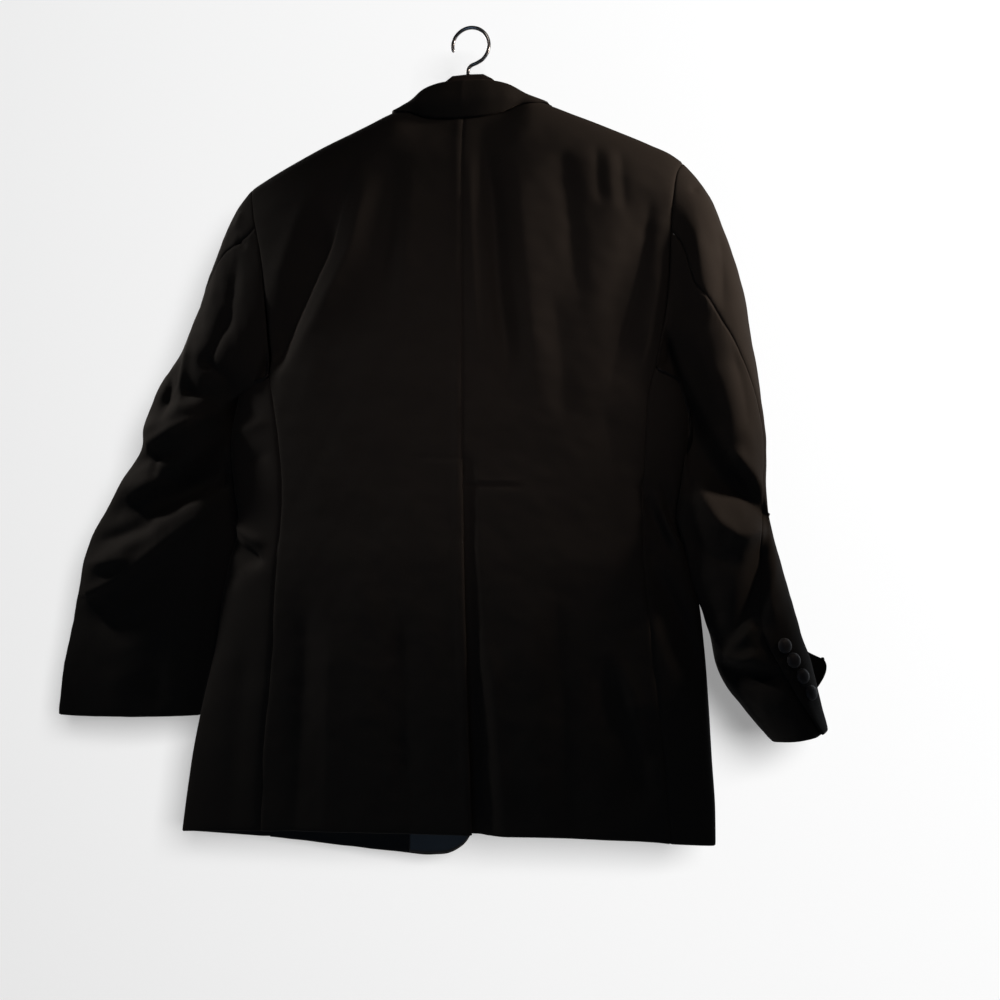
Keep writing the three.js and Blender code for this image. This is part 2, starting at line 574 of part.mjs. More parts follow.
function sleeve(sign, rows, folds) {
  const station = curves(rows, 'at');
  const ring = armhole(sign);
  const count = ring.length - 1;
  const start = station(0);
  const middle = (start.innerZ + start.outerZ) / 2;
  const reach = (start.outerZ - start.innerZ) / 2;
  const lowest = ring.reduce((low, point, k) => (point.z < ring[low].z ? k : low), 0);
  const degrees = ring.map((point, k) => {
    const angle = THREE.MathUtils.radToDeg(Math.acos(clamp((point.z - middle) / reach, -1, 1)));
    return k <= lowest ? angle : 360 - angle;
  });
  degrees[0] = 0;
  degrees[count] = 360;
  const nearest = (angle) => degrees.reduce(
    (best, value, k) => (Math.abs(value - angle) < Math.abs(degrees[best] - angle) ? k : best), 0,
  );
  const backCorner = nearest(start.seam);
  const frontCorner = nearest(FRONT_SLEEVE_SEAM);
  const offsets = ring.map((point, k) => {
    const under = Math.max(0, -Math.cos(THREE.MathUtils.degToRad(degrees[k]))) ** 2;
    const clear = new THREE.Vector3(sign * SEAM_GAP, 0, SEAM_GAP * 1.5 * under);
    return point.clone().add(clear).sub(sleeveRing(start, degrees[k]));
  });

  // Columns slide round the sleeve so that the seams follow their own line
  const slide = (k, at) => {
    const first = degrees[backCorner];
    const second = degrees[frontCorner];
    const settle = smooth(0, 0.06, at);
    const seam = mix(first, station(at).seam, settle);
    const front = mix(second, FRONT_SLEEVE_SEAM, settle);
    const value = degrees[k];
    if (value > first && value <= second) return mix(seam, front, (value - first) / (second - first));
    const turns = value > second ? 1 : 0;
    const share = (value + 360 * (1 - turns) - second) / (first + 360 - second);
    return mix(FRONT_SLEEVE_SEAM - 360, seam, share) + 360 * turns;
  };
  const angleAt = (k, at) => mix(degrees[k], slide(k, at), smooth(0, 0.12, at));
  const surface = (k, at) => {
    const angle = angleAt(k, at);
    const point = sleeveRing(station(at), angle);
    point.addScaledVector(offsets[k], 1 - smooth(0, 0.3, at));
    const turn = THREE.MathUtils.degToRad(angle);
    const facing = Math.sin(turn);
    const rise = foldRise(folds, point.x, point.z) * smooth(0.02, 0.1, at);
    point.y -= rise * Math.sign(facing) * Math.min(1, Math.abs(facing) * 1.3);
    return point;
  };
  return { surface, station, count, backCorner, frontCorner };
}

function sleeveNormal(made, k, at, sign) {
  const before = (k + made.count - 1) % made.count;
  const after = (k + 1) % made.count;
  const low = Math.min(at + 0.004, 1);
  const high = Math.max(at - 0.004, 0);
  const across = made.surface(after, at).sub(made.surface(before, at));
  const along = made.surface(k % made.count, low).sub(made.surface(k % made.count, high));
  const normal = across.cross(along).normalize();
  return sign > 0 ? normal : normal.negate();
}

function sleeveWall(name, made, sign, from, to) {
  const column = (i) => (from + i) % made.count;
  const at = (j) => j / SLEEVE_ROWS;
  const columns = to - from;
  const pull = (i, j) => {
    const step = i === 0 ? 1 : -1;
    if (i !== 0 && i !== columns) return new THREE.Vector3();
    const here = made.surface(column(i), at(j));
    return made.surface(column(i + step), at(j)).sub(here).setLength(SEAM_GAP);
  };
  const outer = (i, j) => made.surface(column(i), at(j)).add(pull(i, j));
  const inner = (i, j) => {
    const point = outer(i, j);
    const seam = point.x;
    point.addScaledVector(sleeveNormal(made, column(i), at(j), sign), -CLOTH);
    if (j === 0) point.x = sign * Math.max(sign * point.x, sign * seam);
    return point;
  };
  return wall(name, columns, SLEEVE_ROWS, outer, inner, wool);
}

// A piece that lies on a panel: a grid of places on it, moved out (or in, on its inside)
function laid(name, side, columns, rows, place, lift, thickness, material) {
  const point = (i, j, more) => {
    const { x, z } = place(i / columns, j / rows);
    return bodyPoint(side, x, z).addScaledVector(bodyNormal(side, x, z), lift(i / columns, j / rows) + more);
  };
  return wall(name, columns, rows, (i, j) => point(i, j, thickness), (i, j) => point(i, j, 0), material);
}

// A lapel's face, from its tip above the button up to the notch
function lapel(name, sign, gap, roll, inset) {
  const shape = curves(LAPEL, 'z');
  const place = (across, up) => {
    const level = mix(LAPEL[0].z, LAPEL[LAPEL.length - 1].z, up);
    const { width, drop } = shape(level);
    const line = frontEdge(level)[sign < 0 ? 'left' : 'right'];
    return { x: line + sign * width * across, z: level - drop * across };
  };
  const lift = (across, up) => {
    const { x, z } = place(across, up);
    return gap + roll * (1 - across) ** 2 - inset(x, z);
  };
  return laid(name, 1, 5, 10, place, lift, SATIN, satin);
}

// A narrow piece on a front, between two ends
function strip(name, from, to, height, material, thickness) {
  const place = (across, up) => ({
    x: mix(from.x, to.x, across),
    z: mix(from.z, to.z, across) + height * (up - 0.5),
  });
  return laid(name, 1, 6, 1, place, () => LAY_GAP, thickness, material);
}

// The satin facing inside the left front, which shows below the back's hem
function facing() {
  const TOP_LEVEL = -802;
  const OUTER_X = -77;
  const MARGIN = 1.5; // it stays this far inside the panel's edges
  const place = (across, up) => {
    const edge = meet(hemFrontLeft, (z) => frontEdge(z).left, 0);
    const level = mix(hemFrontLeft(edge), TOP_LEVEL, up);
    const x = mix(OUTER_X, frontEdge(level).left - MARGIN, across);
    return { x, z: mix(hemFrontLeft(x) + MARGIN, TOP_LEVEL, up) };
  };
  return laid('facing_left', 1, 5, 4, place, () => -(CLOTH + LAY_GAP + SATIN), SATIN, satin);
}

// The collar: a leaf over the panels and a stand on the neck seam, joined by the fold
function collar() {
  const station = curves(COLLAR, 'part');
  const path = (q) => {
    const sign = q < 0 ? -1 : 1;
    const row = station(Math.abs(q));
    const side = Math.sign(row.edgeSide) || -1;
    const edgeX = sign * row.edgeX;
    const edgeZ = topLine(edgeX) - Math.max(0, row.drop);
    const edge = bodyPoint(side, edgeX, edgeZ).addScaledVector(bodyNormal(side, edgeX, edgeZ), COLLAR_LIFT);
    const middle = new THREE.Vector3(sign * row.middleX, row.middleY, row.middleZ);
    const fold = new THREE.Vector3(sign * row.foldX, row.foldY, row.foldZ);
    const foot = new THREE.Vector3(sign * row.footX, row.footY, row.footZ);
    const inside = fold.clone().lerp(foot, 0.35).lerp(middle, -0.12);
    return new THREE.CatmullRomCurve3([edge, middle, fold, inside, foot], false, 'centripetal');
  };
  const COLUMNS = 30;
  const STEPS = 8;
  const paths = [];
  for (let i = -1; i <= COLUMNS + 1; i += 1) {
    paths.push(path(clamp(mix(-1, 1, i / COLUMNS), -1, 1)));
  }
  const at = (i, j) => paths[i + 1].getPoint(j / STEPS);
  const normal = (i, j) => {
    const around = at(i + 1, j).sub(at(i - 1, j));
    const along = paths[i + 1].getTangent(j / STEPS);
    return along.cross(around).normalize();
  };
  const inner = (i, j) => at(i, j).addScaledVector(normal(i, j), -CLOTH * 0.9);
  return wall('collar', COLUMNS, STEPS, at, inner, wool);
}

// Half section of a domed button, in its own radius, from its foot up
const BUTTON_PROFILE = [[0, 0], [0.62, 0], [0.98, 0.24], [0.94, 0.5], [0.62, 0.7], [0, 0.78]];

// A covered button on the first face of a mesh that a line meets, from outside
function coveredButton(name, radius, mesh, from, direction) {
  const [hit] = new THREE.Raycaster(from, direction.clone().normalize()).intersectObject(mesh);
  const normal = hit.face.normal;
  const points = BUTTON_PROFILE.map(([out, up]) => new THREE.Vector2(out * radius, up * radius));
  const lathe = new THREE.LatheGeometry(points, 10);
  lathe.deleteAttribute('normal');
  lathe.deleteAttribute('uv');
  const button = new THREE.Mesh(lathe, covered());
  button.name = name;
  button.quaternion.setFromUnitVectors(new THREE.Vector3(0, 1, 0), normal);
  button.position.copy(hit.point).addScaledVector(normal, LAY_GAP);
  return button;
}

// Four buttons up the back of a cuff, in a line from the first to the last place on the sleeve
function cuffButtons(name, made, mesh, first, last) {
  const COUNT = 4;
  const buttons = [];
  for (let n = 0; n < COUNT; n += 1) {
    const share = n / (COUNT - 1);
    const row = made.station(mix(first.at, last.at, share));
    const point = sleeveRing(row, mix(first.degrees, last.degrees, share));
    const axis = sleeveRing(row, 90).add(sleeveRing(row, 270)).multiplyScalar(0.5);
    const out = point.clone().sub(axis).normalize();
    const from = axis.clone().addScaledVector(out, 200);
    buttons.push(coveredButton(`cuff_button_${name}_${n + 1}`, CUFF_BUTTON, mesh, from, out.negate()));
  }
  return buttons;
}

// The hanger: a bar that follows the shoulder seams, with a neck in the middle that holds the hook
const NECK_X = -3;
const NECK_TOP = -48.4;

function hanger() {
  const arm = table(['x', 'drop', 'height', 'depth'], [
    [-214, 9, 8, 5], [-208, 5, 21, 10], [-190, 3.5, 23, 12.5], [-158, 3.2, 22, 13],
    [-122, 3.2, 22, 13], [-88, 4.5, 24, 13], [88, 4.5, 24, 13], [112, 3.4, 23, 13],
    [153, 3.4, 22, 13], [180, 3.8, 24, 12], [196, 5.5, 22, 10], [202, 9, 10, 5],
  ]);
  const neck = table(['x', 'top', 'bottom', 'depth'], [
    [-62, -93, -114, 13], [-42, -74, -108, 12], [-30, -56.5, -104, 11], [-20, -49.2, -103, 10],
    [NECK_X, NECK_TOP, -102, 10], [14, -49.2, -103, 10], [25, -55.5, -104, 11], [38, -73, -108, 12],
    [60, -93, -114, 13],
  ]);
  const arms = arm.map(({ x, drop, height, depth }) => {
    const top = topLine(x) - drop;
    return { x, top, bottom: top - height, depth };
  });
  const rows = [...arms, ...neck].sort((a, b) => a.x - b.x);
  const SIDES = 10;
  const positions = [];
  const faces = [];
  rows.forEach((row) => {
    for (let k = 0; k < SIDES; k += 1) {
      const turn = (2 * Math.PI * k) / SIDES;
      const y = row.depth * Math.sin(turn);
      const z = mix(row.bottom, row.top, (1 + Math.cos(turn)) / 2);
      positions.push(row.x, y, z);
    }
  });
  for (let r = 0; r < rows.length - 1; r += 1) {
    for (let k = 0; k < SIDES; k += 1) {
      const a = r * SIDES + k;
      const b = r * SIDES + ((k + 1) % SIDES);
      faces.push(a, b, b + SIDES, a, b + SIDES, a + SIDES);
    }
  }
  for (let k = 1; k < SIDES - 1; k += 1) {
    faces.push(0, k + 1, k);
    const end = (rows.length - 1) * SIDES;
    faces.push(end, end + k, end + k + 1);
  }
  return solid('hanger', positions, faces, plastic);
}

function hook() {
  const wireRadius = WIRE / 2;
  const bend = HOOK_RADIUS + wireRadius;
  const path = [[NECK_X, NECK_TOP + SEAM_GAP], [NECK_X, -44], [0, -39.5], [7, -36.5]];
  for (const degrees of [-48, -22, 6, 34, 62, 90, 118, 146, 174, 196]) {
    const turn = THREE.MathUtils.degToRad(degrees);
    path.push([bend * Math.cos(turn), -HOOK_RADIUS + bend * Math.sin(turn)]);
  }
  const points = path.map(([x, z]) => new THREE.Vector3(x, 0, z));
  const section = new THREE.Shape();
  section.absarc(0, 0, wireRadius, 0, 2 * Math.PI, false);
  const geometry = new THREE.ExtrudeGeometry(section, {
    curveSegments: 4,
    steps: 26,
    extrudePath: new THREE.CatmullRomCurve3(points, false, 'centripetal'),
  });
  const mesh = new THREE.Mesh(geometry, steel());
  mesh.name = 'hook';
  return mesh;
}

const jacket = new THREE.Group();
const flat = () => 0;
const frontLeft = front('front_left', hemFrontLeft, edgeLine.frontLeft, (z) => frontEdge(z).left, flat);
jacket.add(backLeft(), backRight());
jacket.add(sideWall('side_left', -1), sideWall('side_right', 1));
jacket.add(frontLeft);
jacket.add(front('front_right', hemFrontRight, edgeLine.frontRight, (z) => frontEdge(z).right, frontInset));
jacket.add(lapel('lapel_left', -1, LAY_GAP, 3.2, flat));
jacket.add(lapel('lapel_right', 1, LAY_GAP * 2, 1, frontInset));
jacket.add(collar(), facing());
jacket.add(strip('pocket_jet_left', { x: -190, z: -612 }, { x: -58, z: -600 }, 12, satin, SATIN));
jacket.add(strip('pocket_jet_right', { x: 62, z: -600 }, { x: 180, z: -612 }, 12, satin, SATIN));
jacket.add(strip('breast_welt', { x: -190, z: -288 }, { x: -98, z: -298 }, 22, wool, CLOTH));
const buttonFrom = new THREE.Vector3(6, 300, BUTTON_LEVEL);
jacket.add(coveredButton('front_button', FRONT_BUTTON, frontLeft, buttonFrom, new THREE.Vector3(0, -1, 0)));

const sleeves = [
  {
    name: 'left',
    sign: -1,
    made: sleeve(-1, SLEEVE_LEFT, LEFT_SLEEVE_FOLDS),
    first: { at: 0.87, degrees: -46 },
    last: { at: 0.957, degrees: -52 },
  },
  {
    name: 'right',
    sign: 1,
    made: sleeve(1, SLEEVE_RIGHT, RIGHT_SLEEVE_FOLDS),
    first: { at: 0.828, degrees: 60 },
    last: { at: 0.924, degrees: 43 },
  },
];
for (const { name, sign, made, first, last } of sleeves) {
  const { backCorner, frontCorner, count } = made;
  const top = sleeveWall(`sleeve_top_${name}`, made, sign, frontCorner, backCorner + count);
  jacket.add(sleeveWall(`sleeve_under_${name}`, made, sign, backCorner, frontCorner), top);
  jacket.add(...cuffButtons(name, made, top, first, last));
}

jacket.add(hanger(), hook());

export default jacket;
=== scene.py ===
"""The looks of a hung dinner jacket, seen from behind in front of a pale studio wall.

Tables and sizes here are in millimetres, and become metres where a mesh is made. The back of the
jacket faces -Y, -X is the wearer's left, and the origin is the seat of the hanger's hook.
"""

import math

import bmesh
import bpy
import numpy as np
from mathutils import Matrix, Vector


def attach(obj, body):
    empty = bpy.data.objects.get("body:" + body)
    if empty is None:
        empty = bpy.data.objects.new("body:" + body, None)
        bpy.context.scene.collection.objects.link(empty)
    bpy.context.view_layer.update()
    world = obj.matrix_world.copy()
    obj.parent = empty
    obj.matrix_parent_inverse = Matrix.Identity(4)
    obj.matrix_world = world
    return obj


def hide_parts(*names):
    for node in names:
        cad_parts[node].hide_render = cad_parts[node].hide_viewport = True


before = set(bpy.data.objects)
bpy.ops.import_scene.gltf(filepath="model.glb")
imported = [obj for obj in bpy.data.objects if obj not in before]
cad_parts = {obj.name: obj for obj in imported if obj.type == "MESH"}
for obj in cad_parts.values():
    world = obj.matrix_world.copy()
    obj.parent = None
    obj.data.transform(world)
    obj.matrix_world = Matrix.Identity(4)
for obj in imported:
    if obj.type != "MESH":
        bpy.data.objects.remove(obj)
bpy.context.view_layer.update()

METRE = 1000.0

# Driving sizes, as in the model
CLOTH = 2.2
SATIN = 1.6
SEAM_GAP = 0.3
LAY_GAP = 0.6
LAP_GAP = 0.7
COLLAR_LIFT = 2.9
EDGE_POWER = 2.6
SHOULDER_ROUND = 60
NECK_HALF = 72
NECK_DEPTH = 0.6
ARMPIT = -374
ARMPIT_DIP = 11
VENT_TOP = -492
VENT_LAP = 34
FRONT_BUTTON = 11
CUFF_BUTTON = 7.8
WIRE = 3.8
HOOK_RADIUS = 18
FRONT_SEAM_SHIFT = 12
FRONT_SLEEVE_SEAM = 232
SNUG_SPREAD = 26
TUCK_AT = 324
TUCK_WIDTH = 20
NECK_X = -3
NECK_TOP = -48.4

# The model's rows along a panel, which its armhole corners lie on
LOW_ROWS = 18
HIGH_ROWS = 6
ROUND_ROWS = 4
SIDE_COLUMNS = 5
ARMPIT_SHARE = 0.6
ROUND_SHARE = 0.88

# Finer cells of the cloth here
PANEL_ROWS = (176, 66, 34)
BACK_CELLS = 92
LAP_CELLS = 16
LAPEL_CELLS = (120, 40)
FACING_CELLS = (30, 40)
STRIP_CELLS = (16, 60)
COLLAR_CELLS = (56, 180)
FRONT_CELLS = 84
SIDE_CELLS = 40
SLEEVE_CELLS = 200
TOP_SLEEVE_CELLS = 84
UNDER_SLEEVE_CELLS = 64
LAPEL_WRAP = 9  # columns that turn round the front edge at the roll line

# Places round a sleeve, counted in corners of the armhole
CUFF_LAP = 1.4  # of the under sleeve below the upper one
SLEEVE_GAP = 0.03  # half the gap at a seam
FINE_EDGE = 0.25  # width of the finer cells beside a sleeve's first edge

# A crease on a sleeve is weaker at the front, and no deeper than a share of the sleeve's half depth
FRONT_CREASES_SHARE = 0.45
DEEPEST_FRONT = 0.5
DEEPEST_BACK = 1.15

CREASE_POINT = 1.5  # 2 is a round crest; less is a sharper one
SEAM_SINK = 0.8  # how far a seamed edge rolls in
HEM_SINK = 0.3
SEAM_ROLL = 2.0  # width over which a seamed edge rolls in
RIM_BULGE = 0.45  # how round an edge is, as a share of the cloth's thickness
EDGE_FADE = 24  # depth of the body within which its folds fade out
TOP_FADE = 40  # the same for creases, as a drop from the shoulder line

# The right back panel beside the vent: how deep it lies and how far out that reaches, from the
# vent's top to the hem. The right front lies deeper by the lapel's room where its lapel is lapped.
VENT_SINK = (1.0, 7.5)
VENT_BAND = (16, 36)
LAPEL_ROOM = 5.4

# Shares of a sleeve's length between which the cuff's vent opens and the under sleeve's lap starts
CUFF_OPENS = (0.78, 0.83)
CUFF_LAPS = (0.76, 0.84)

# The studio, in metres
WALL_Y = 0.084
WALL_HALF = 4
FLOOR_Z = -1.55
FLOOR_HALF = 6
AIM = Vector((0.032, 0.0, -0.551))
CAMERA_TURN = 10
CAMERA_DISTANCE = 1.289
CAMERA_LENS = 43.27
CAMERA_RISE = 0.041
WALL_GLOW = 0.28
WALL_GREY = 0.6
AIR_LIGHT = 0.010
AIR_SEEN = 0.97
WARM = (1.0, 0.78, 0.62)
SOFT_WARM = (1.0, 0.84, 0.72)
ROSY = (1.0, 0.78, 0.68)
PALE_WARM = (1.0, 0.92, 0.84)
COOL = (0.42, 0.66, 1.0)


def table(columns, rows):
    values = np.array(rows, float)
    return {name: values[:, i] for i, name in enumerate(columns.split())}


BODY = table("z left right back front", [
    (-80, -278, 256, 54, 46),
    (-150, -276, 254, 56, 50),
    (-200, -270, 248, 60, 55),
    (-280, -262, 238, 61, 60),
    (-340, -257, 229, 56, 57),
    (-385, -260, 225, 52, 53),
    (-404, -264, 229, 50, 51),
    (-427, -269, 232, 48, 49),
    (-449, -270.5, 231, 46, 48),
    (-494, -267, 226, 44, 46),
    (-528, -262, 221, 43, 45),
    (-571, -272, 233, 43, 44),
    (-606, -280, 241, 42, 43),
    (-662, -288, 248, 41, 42),
    (-729, -304, 253, 40, 41),
    (-780, -315, 256, 39, 40),
    (-823, -322, 259, 38, 40),
    (-873, -329, 260, 37, 39),
    (-910, -334, 262, 36, 38),
])
TOP = table("x z", [
    (-250, -165), (-246, -162.5), (-220, -148.5), (-190, -134), (-158, -119.5), (-122, -105),
    (-104, -97.5), (-88, -90.5), (-72, -85.5), (-40, -95), (0, -99.5), (40, -94.5), (72, -84.5),
    (88, -90.5), (112, -101), (133, -110), (153, -119), (192, -137), (216, -149.5),
    (226, -157.5), (232, -164),
])
HEM_BACK = table("x z", [
    (-335, -875), (-329, -874), (-226, -865), (-60, -860), (8, -859), (143, -858.5), (216, -862),
    (260, -872), (266, -874),
])
HEM_FRONT_LEFT = table("x z", [
    (-340, -880), (-240, -886), (-99, -897.5), (-46, -899), (-32, -897), (-22, -892),
    (-13, -884.5), (-7, -876), (10, -846),
])
HEM_FRONT_RIGHT = table("x z", [
    (0, -818), (16, -842), (24, -853), (34, -861), (46, -866), (60, -868), (140, -868),
    (216, -869), (266, -875),
])
BACK_EDGE = table("z left right", [
    (-155, -248, 228), (-160.5, -246, 226), (-172, -240, 221.5), (-194, -233.5, 218),
    (-237, -223, 215), (-281, -218.4, 213), (-318, -216, 209), (-350, -215, 204),
    (-374, -214.6, 199), (-398, -210, 193), (-440, -204.4, 190), (-485, -201, 187.5),
    (-507, -201, 187), (-572, -207, 188), (-615, -210, 191), (-669, -213, 196),
    (-713, -216.5, 201), (-767, -222, 207), (-865, -226, 215), (-900, -227, 218),
])
CENTRE_BACK = table("z x", [
    (-95, 0), (-199, 2.9), (-303, 2.5), (-405, 0.8), (-492, -0.2), (-612, 1.3), (-717, 4.1),
    (-859, 7.9),
])
FRONT_EDGE = table("z left right", [
    (-82, -72, 72), (-120, -62, 62), (-165, -49, 50), (-250, -26, 29), (-350, 1.5, 4.5),
    (-440, 25, -15), (-480, 27, -17), (-560, 25, -14), (-640, 21, -8), (-720, 14, 0),
    (-800, 5, 9), (-850, -3, 15), (-880, -8, 19),
])
LAPEL = table("z width drop", [
    (-436, 3, 0), (-405, 21, 1), (-360, 43, 3), (-310, 61, 6), (-260, 77, 11), (-210, 88, 19),
    (-173, 85, 26),
])
COLLAR = table(
    "part edgeX drop edgeSide middleX middleY middleZ foldX foldY foldZ footX footY footZ", [
        (0, 0, 11, -1, 0, -49, -90, 0, -41.5, -70, 0, -31.5, -99),
        (0.2, 34, 11.6, -1, 33, -46, -89, 29, -37.5, -70.5, 28, -26.6, -96),
        (0.36, 58, 10.8, -1, 55, -36, -87, 50, -26, -74, 49, -16.2, -89.9),
        (0.46, 75, 8.8, -1, 70, -16, -82, 62, -9, -78, 63, -5.5, -85.8),
        (0.52, 85, 0.2, 0, 77, 0, -81.5, 66, 1, -79.5, 66.5, 1, -86),
        (0.6, 92, 5.2, 1, 83, 16, -86, 67, 15, -82, 65.5, 10, -89),
        (0.75, 97, 28.4, 1, 82, 38, -99, 64, 44, -102, 60, 31, -108),
        (0.88, 97, 58.2, 1, 78, 54, -137, 54, 56, -136, 50.5, 42, -138),
        (1, 92, 91.4, 1, 73, 58, -175, 46, 59, -168, 42.5, 45, -168),
    ])

# Folds of the model: straight, from one end to the other
FOLD = "x1 z1 x2 z2 width rise"
BACK_FOLDS = table(FOLD, [
    (-125, -150, -212, -375, 16, -3.4),
    (-96, -175, -180, -400, 20, 2.6),
    (26, -130, 52, -400, 17, -3),
    (70, -150, 88, -420, 20, 2),
    (-70, -160, -78, -330, 18, -2),
    (205, -235, 180, -360, 14, 2.8),
    (186, -200, 155, -360, 14, -2.6),
    (205, -470, 196, -590, 16, -4.2),
    (200, -520, 238, -565, 12, 3.4),
    (196, -590, 244, -700, 14, -3.2),
    (150, -680, 178, -820, 20, -2.6),
    (-175, -610, -160, -850, 22, -2.4),
    (-110, -560, -100, -840, 26, 1.8),
    (70, -620, 76, -850, 26, 1.8),
    (-236, -560, -272, -600, 12, -3),
])
FRONT_FOLDS = table(FOLD, [
    (-150, -200, -205, -375, 18, -3),
    (-120, -420, -20, -470, 14, 2.4),
    (-130, -520, -20, -480, 14, 2.2),
    (110, -420, 40, -465, 14, 2.2),
    (120, -530, 40, -485, 15, 2),
    (150, -190, 195, -370, 18, -2.8),
    (-170, -640, -150, -880, 24, -2.4),
    (-90, -620, -80, -890, 26, 2),
    (140, -640, 150, -860, 24, -2.2),
    (225, -560, 190, -640, 16, -3),
])
LEFT_SLEEVE_FOLDS = table(FOLD, [
    (-380, -436, -272, -392, 11, 6.5),
    (-392, -466, -300, -446, 9, -6),
    (-405, -492, -352, -486, 10, 5),
    (-435, -528, -285, -478, 17, -9),
    (-452, -594, -285, -496, 12, 7.5),
    (-440, -650, -320, -560, 26, -3.5),
    (-330, -352, -345, -396, 9, 4.5),
])
RIGHT_SLEEVE_FOLDS = table(FOLD, [
    (226, -350, 262, -440, 11, -5),
    (270, -380, 296, -470, 16, 3),
    (262, -484, 312, -500, 13, -7.5),
    (232, -494, 272, -546, 11, 6),
    (272, -546, 314, -540, 10, 6),
    (312, -545, 298, -650, 13, -5.5),
    (262, -672, 314, -676, 9, 4.5),
    (268, -690, 330, -690, 9, -5),
])

# Creases laid over them here. Each has its width, its rise, a lean that makes one flank
# wider, how much of it is left at its two ends, and then the places that it passes, as (x, z).
BACK_CREASES = [
    # Drag lines from the left shoulder blade to the armhole
    (7, -4.0, 0.3, (0.2, 0.9), [(-115, -148), (-124, -182), (-132, -208), (-146, -244), (-163, -275),
                                (-185, -316), (-204, -350)]),
    (15, -9.0, 0.2, (0, 1), [(-134, -196), (-152, -240), (-174, -282), (-193, -318), (-206, -348)]),
    (10, 3.0, 0, (0, 0.6), [(-95, -160), (-106, -205), (-117, -245), (-152, -307), (-198, -374)]),
    (12, -2.6, 0.2, (0, 0), [(-64, -140), (-74, -215), (-90, -300)]),
    (13, 1.8, 0, (0, 0), [(-50, -150), (-56, -240), (-66, -340)]),
    (10, 2.0, 0, (0, 0), [(-160, -165), (-186, -230), (-214, -300)]),
    # Long vertical folds right of the centre seam
    (9, -8.5, -0.2, (0.2, 0), [(22, -128), (31, -179), (36, -231), (41, -303), (47, -345), (52, -392)]),
    (7, 2.2, 0, (0, 0), [(10, -135), (15, -250), (20, -380)]),
    (13, 2.6, 0, (0, 0), [(58, -150), (68, -260), (80, -400)]),
    (11, -4.2, 0.1, (0, 0), [(104, -140), (112, -190), (118, -250), (127, -330)]),
    (6, -1.7, 0, (0, 0), [(139, -140), (146, -215)]),
    (6, -1.4, 0, (0, 0), [(164, -146), (170, -225)]),
    (8, 1.6, 0, (0, 0), [(152, -144), (158, -220)]),
    (10, -4.6, -0.2, (0, 0.4), [(196, -190), (190, -250), (172, -330), (157, -374)]),
    (7, 3.6, 0, (0, 0.5), [(206, -250), (197, -320), (186, -370)]),
    (15, -2.2, 0, (0, 0), [(96, -290), (104, -360), (108, -440)]),
    (16, -2.0, 0, (0, 0), [(146, -410), (160, -490)]),
    # Crumples at the right hip
    (5, 9.0, 0, (0.3, 0.1), [(199, -506), (210, -534), (226, -568)]),
    (8, -11.0, 0, (0.5, 0.1), [(189, -498), (203, -535), (216, -566)]),
    (6, -9.0, 0, (0.5, 0.2), [(209, -500), (219, -530), (232, -556)]),
    (9, -4.0, 0, (0, 0), [(182, -524), (196, -554), (206, -576)]),
    (10, -10.0, 0.2, (0.5, 0), [(194, -566), (216, -612), (238, -656), (250, -712)]),
    (8, 5.0, 0, (0.3, 0), [(226, -578), (246, -640), (257, -696)]),
    (11, 3.0, 0, (0, 0), [(181, -588), (198, -640), (226, -716)]),
    # Soft drape of the skirt
    (11, -3.6, 0.2, (0, 0), [(142, -664), (166, -742), (190, -826)]),
    (11, 2.6, 0, (0, 0), [(158, -660), (184, -736), (208, -812)]),
    (14, -3.6, 0, (0, 0), [(182, -716), (202, -786)]),
    (18, -2.0, 0, (0, 0.6), [(94, -570), (104, -700), (110, -866)]),
    (14, -3.2, 0.2, (0, 0.7), [(-173, -600), (-178, -720), (-188, -876)]),
    (13, 2.0, 0, (0, 0.7), [(-146, -630), (-148, -740), (-152, -868)]),
    (16, -2.0, 0, (0, 0.5), [(-68, -600), (-62, -720), (-58, -862)]),
    (14, -2.4, 0, (0, 0.6), [(-240, -640), (-252, -740), (-264, -870)]),
    (12, 2.0, 0, (0, 0.4), [(28, -640), (36, -740), (46, -862)]),
    # Notch at the left waist
    (7, -9.0, 0.2, (1, 0), [(-270, -548), (-248, -563), (-220, -578)]),
    (6, 5.0, 0, (1, 0), [(-270, -530), (-246, -544), (-218, -558)]),
    (9, 2.4, 0, (0.6, 0), [(-264, -440), (-240, -428), (-212, -420)]),
    (9, -2.2, 0, (0.6, 0), [(-264, -470), (-240, -462), (-210, -455)]),
    # Two tacked creases at the waist
    (1.9, -1.6, 0, (0.8, 0.2), [(3, -492.4), (34, -492.8), (66, -493.8)]),
    (2.2, 0.6, 0, (0.8, 0.2), [(3, -489), (34, -489.4), (66, -490.2)]),
    (1.8, -0.9, 0, (0.2, 0.8), [(-55, -463.6), (-28, -464), (1, -465)]),
]
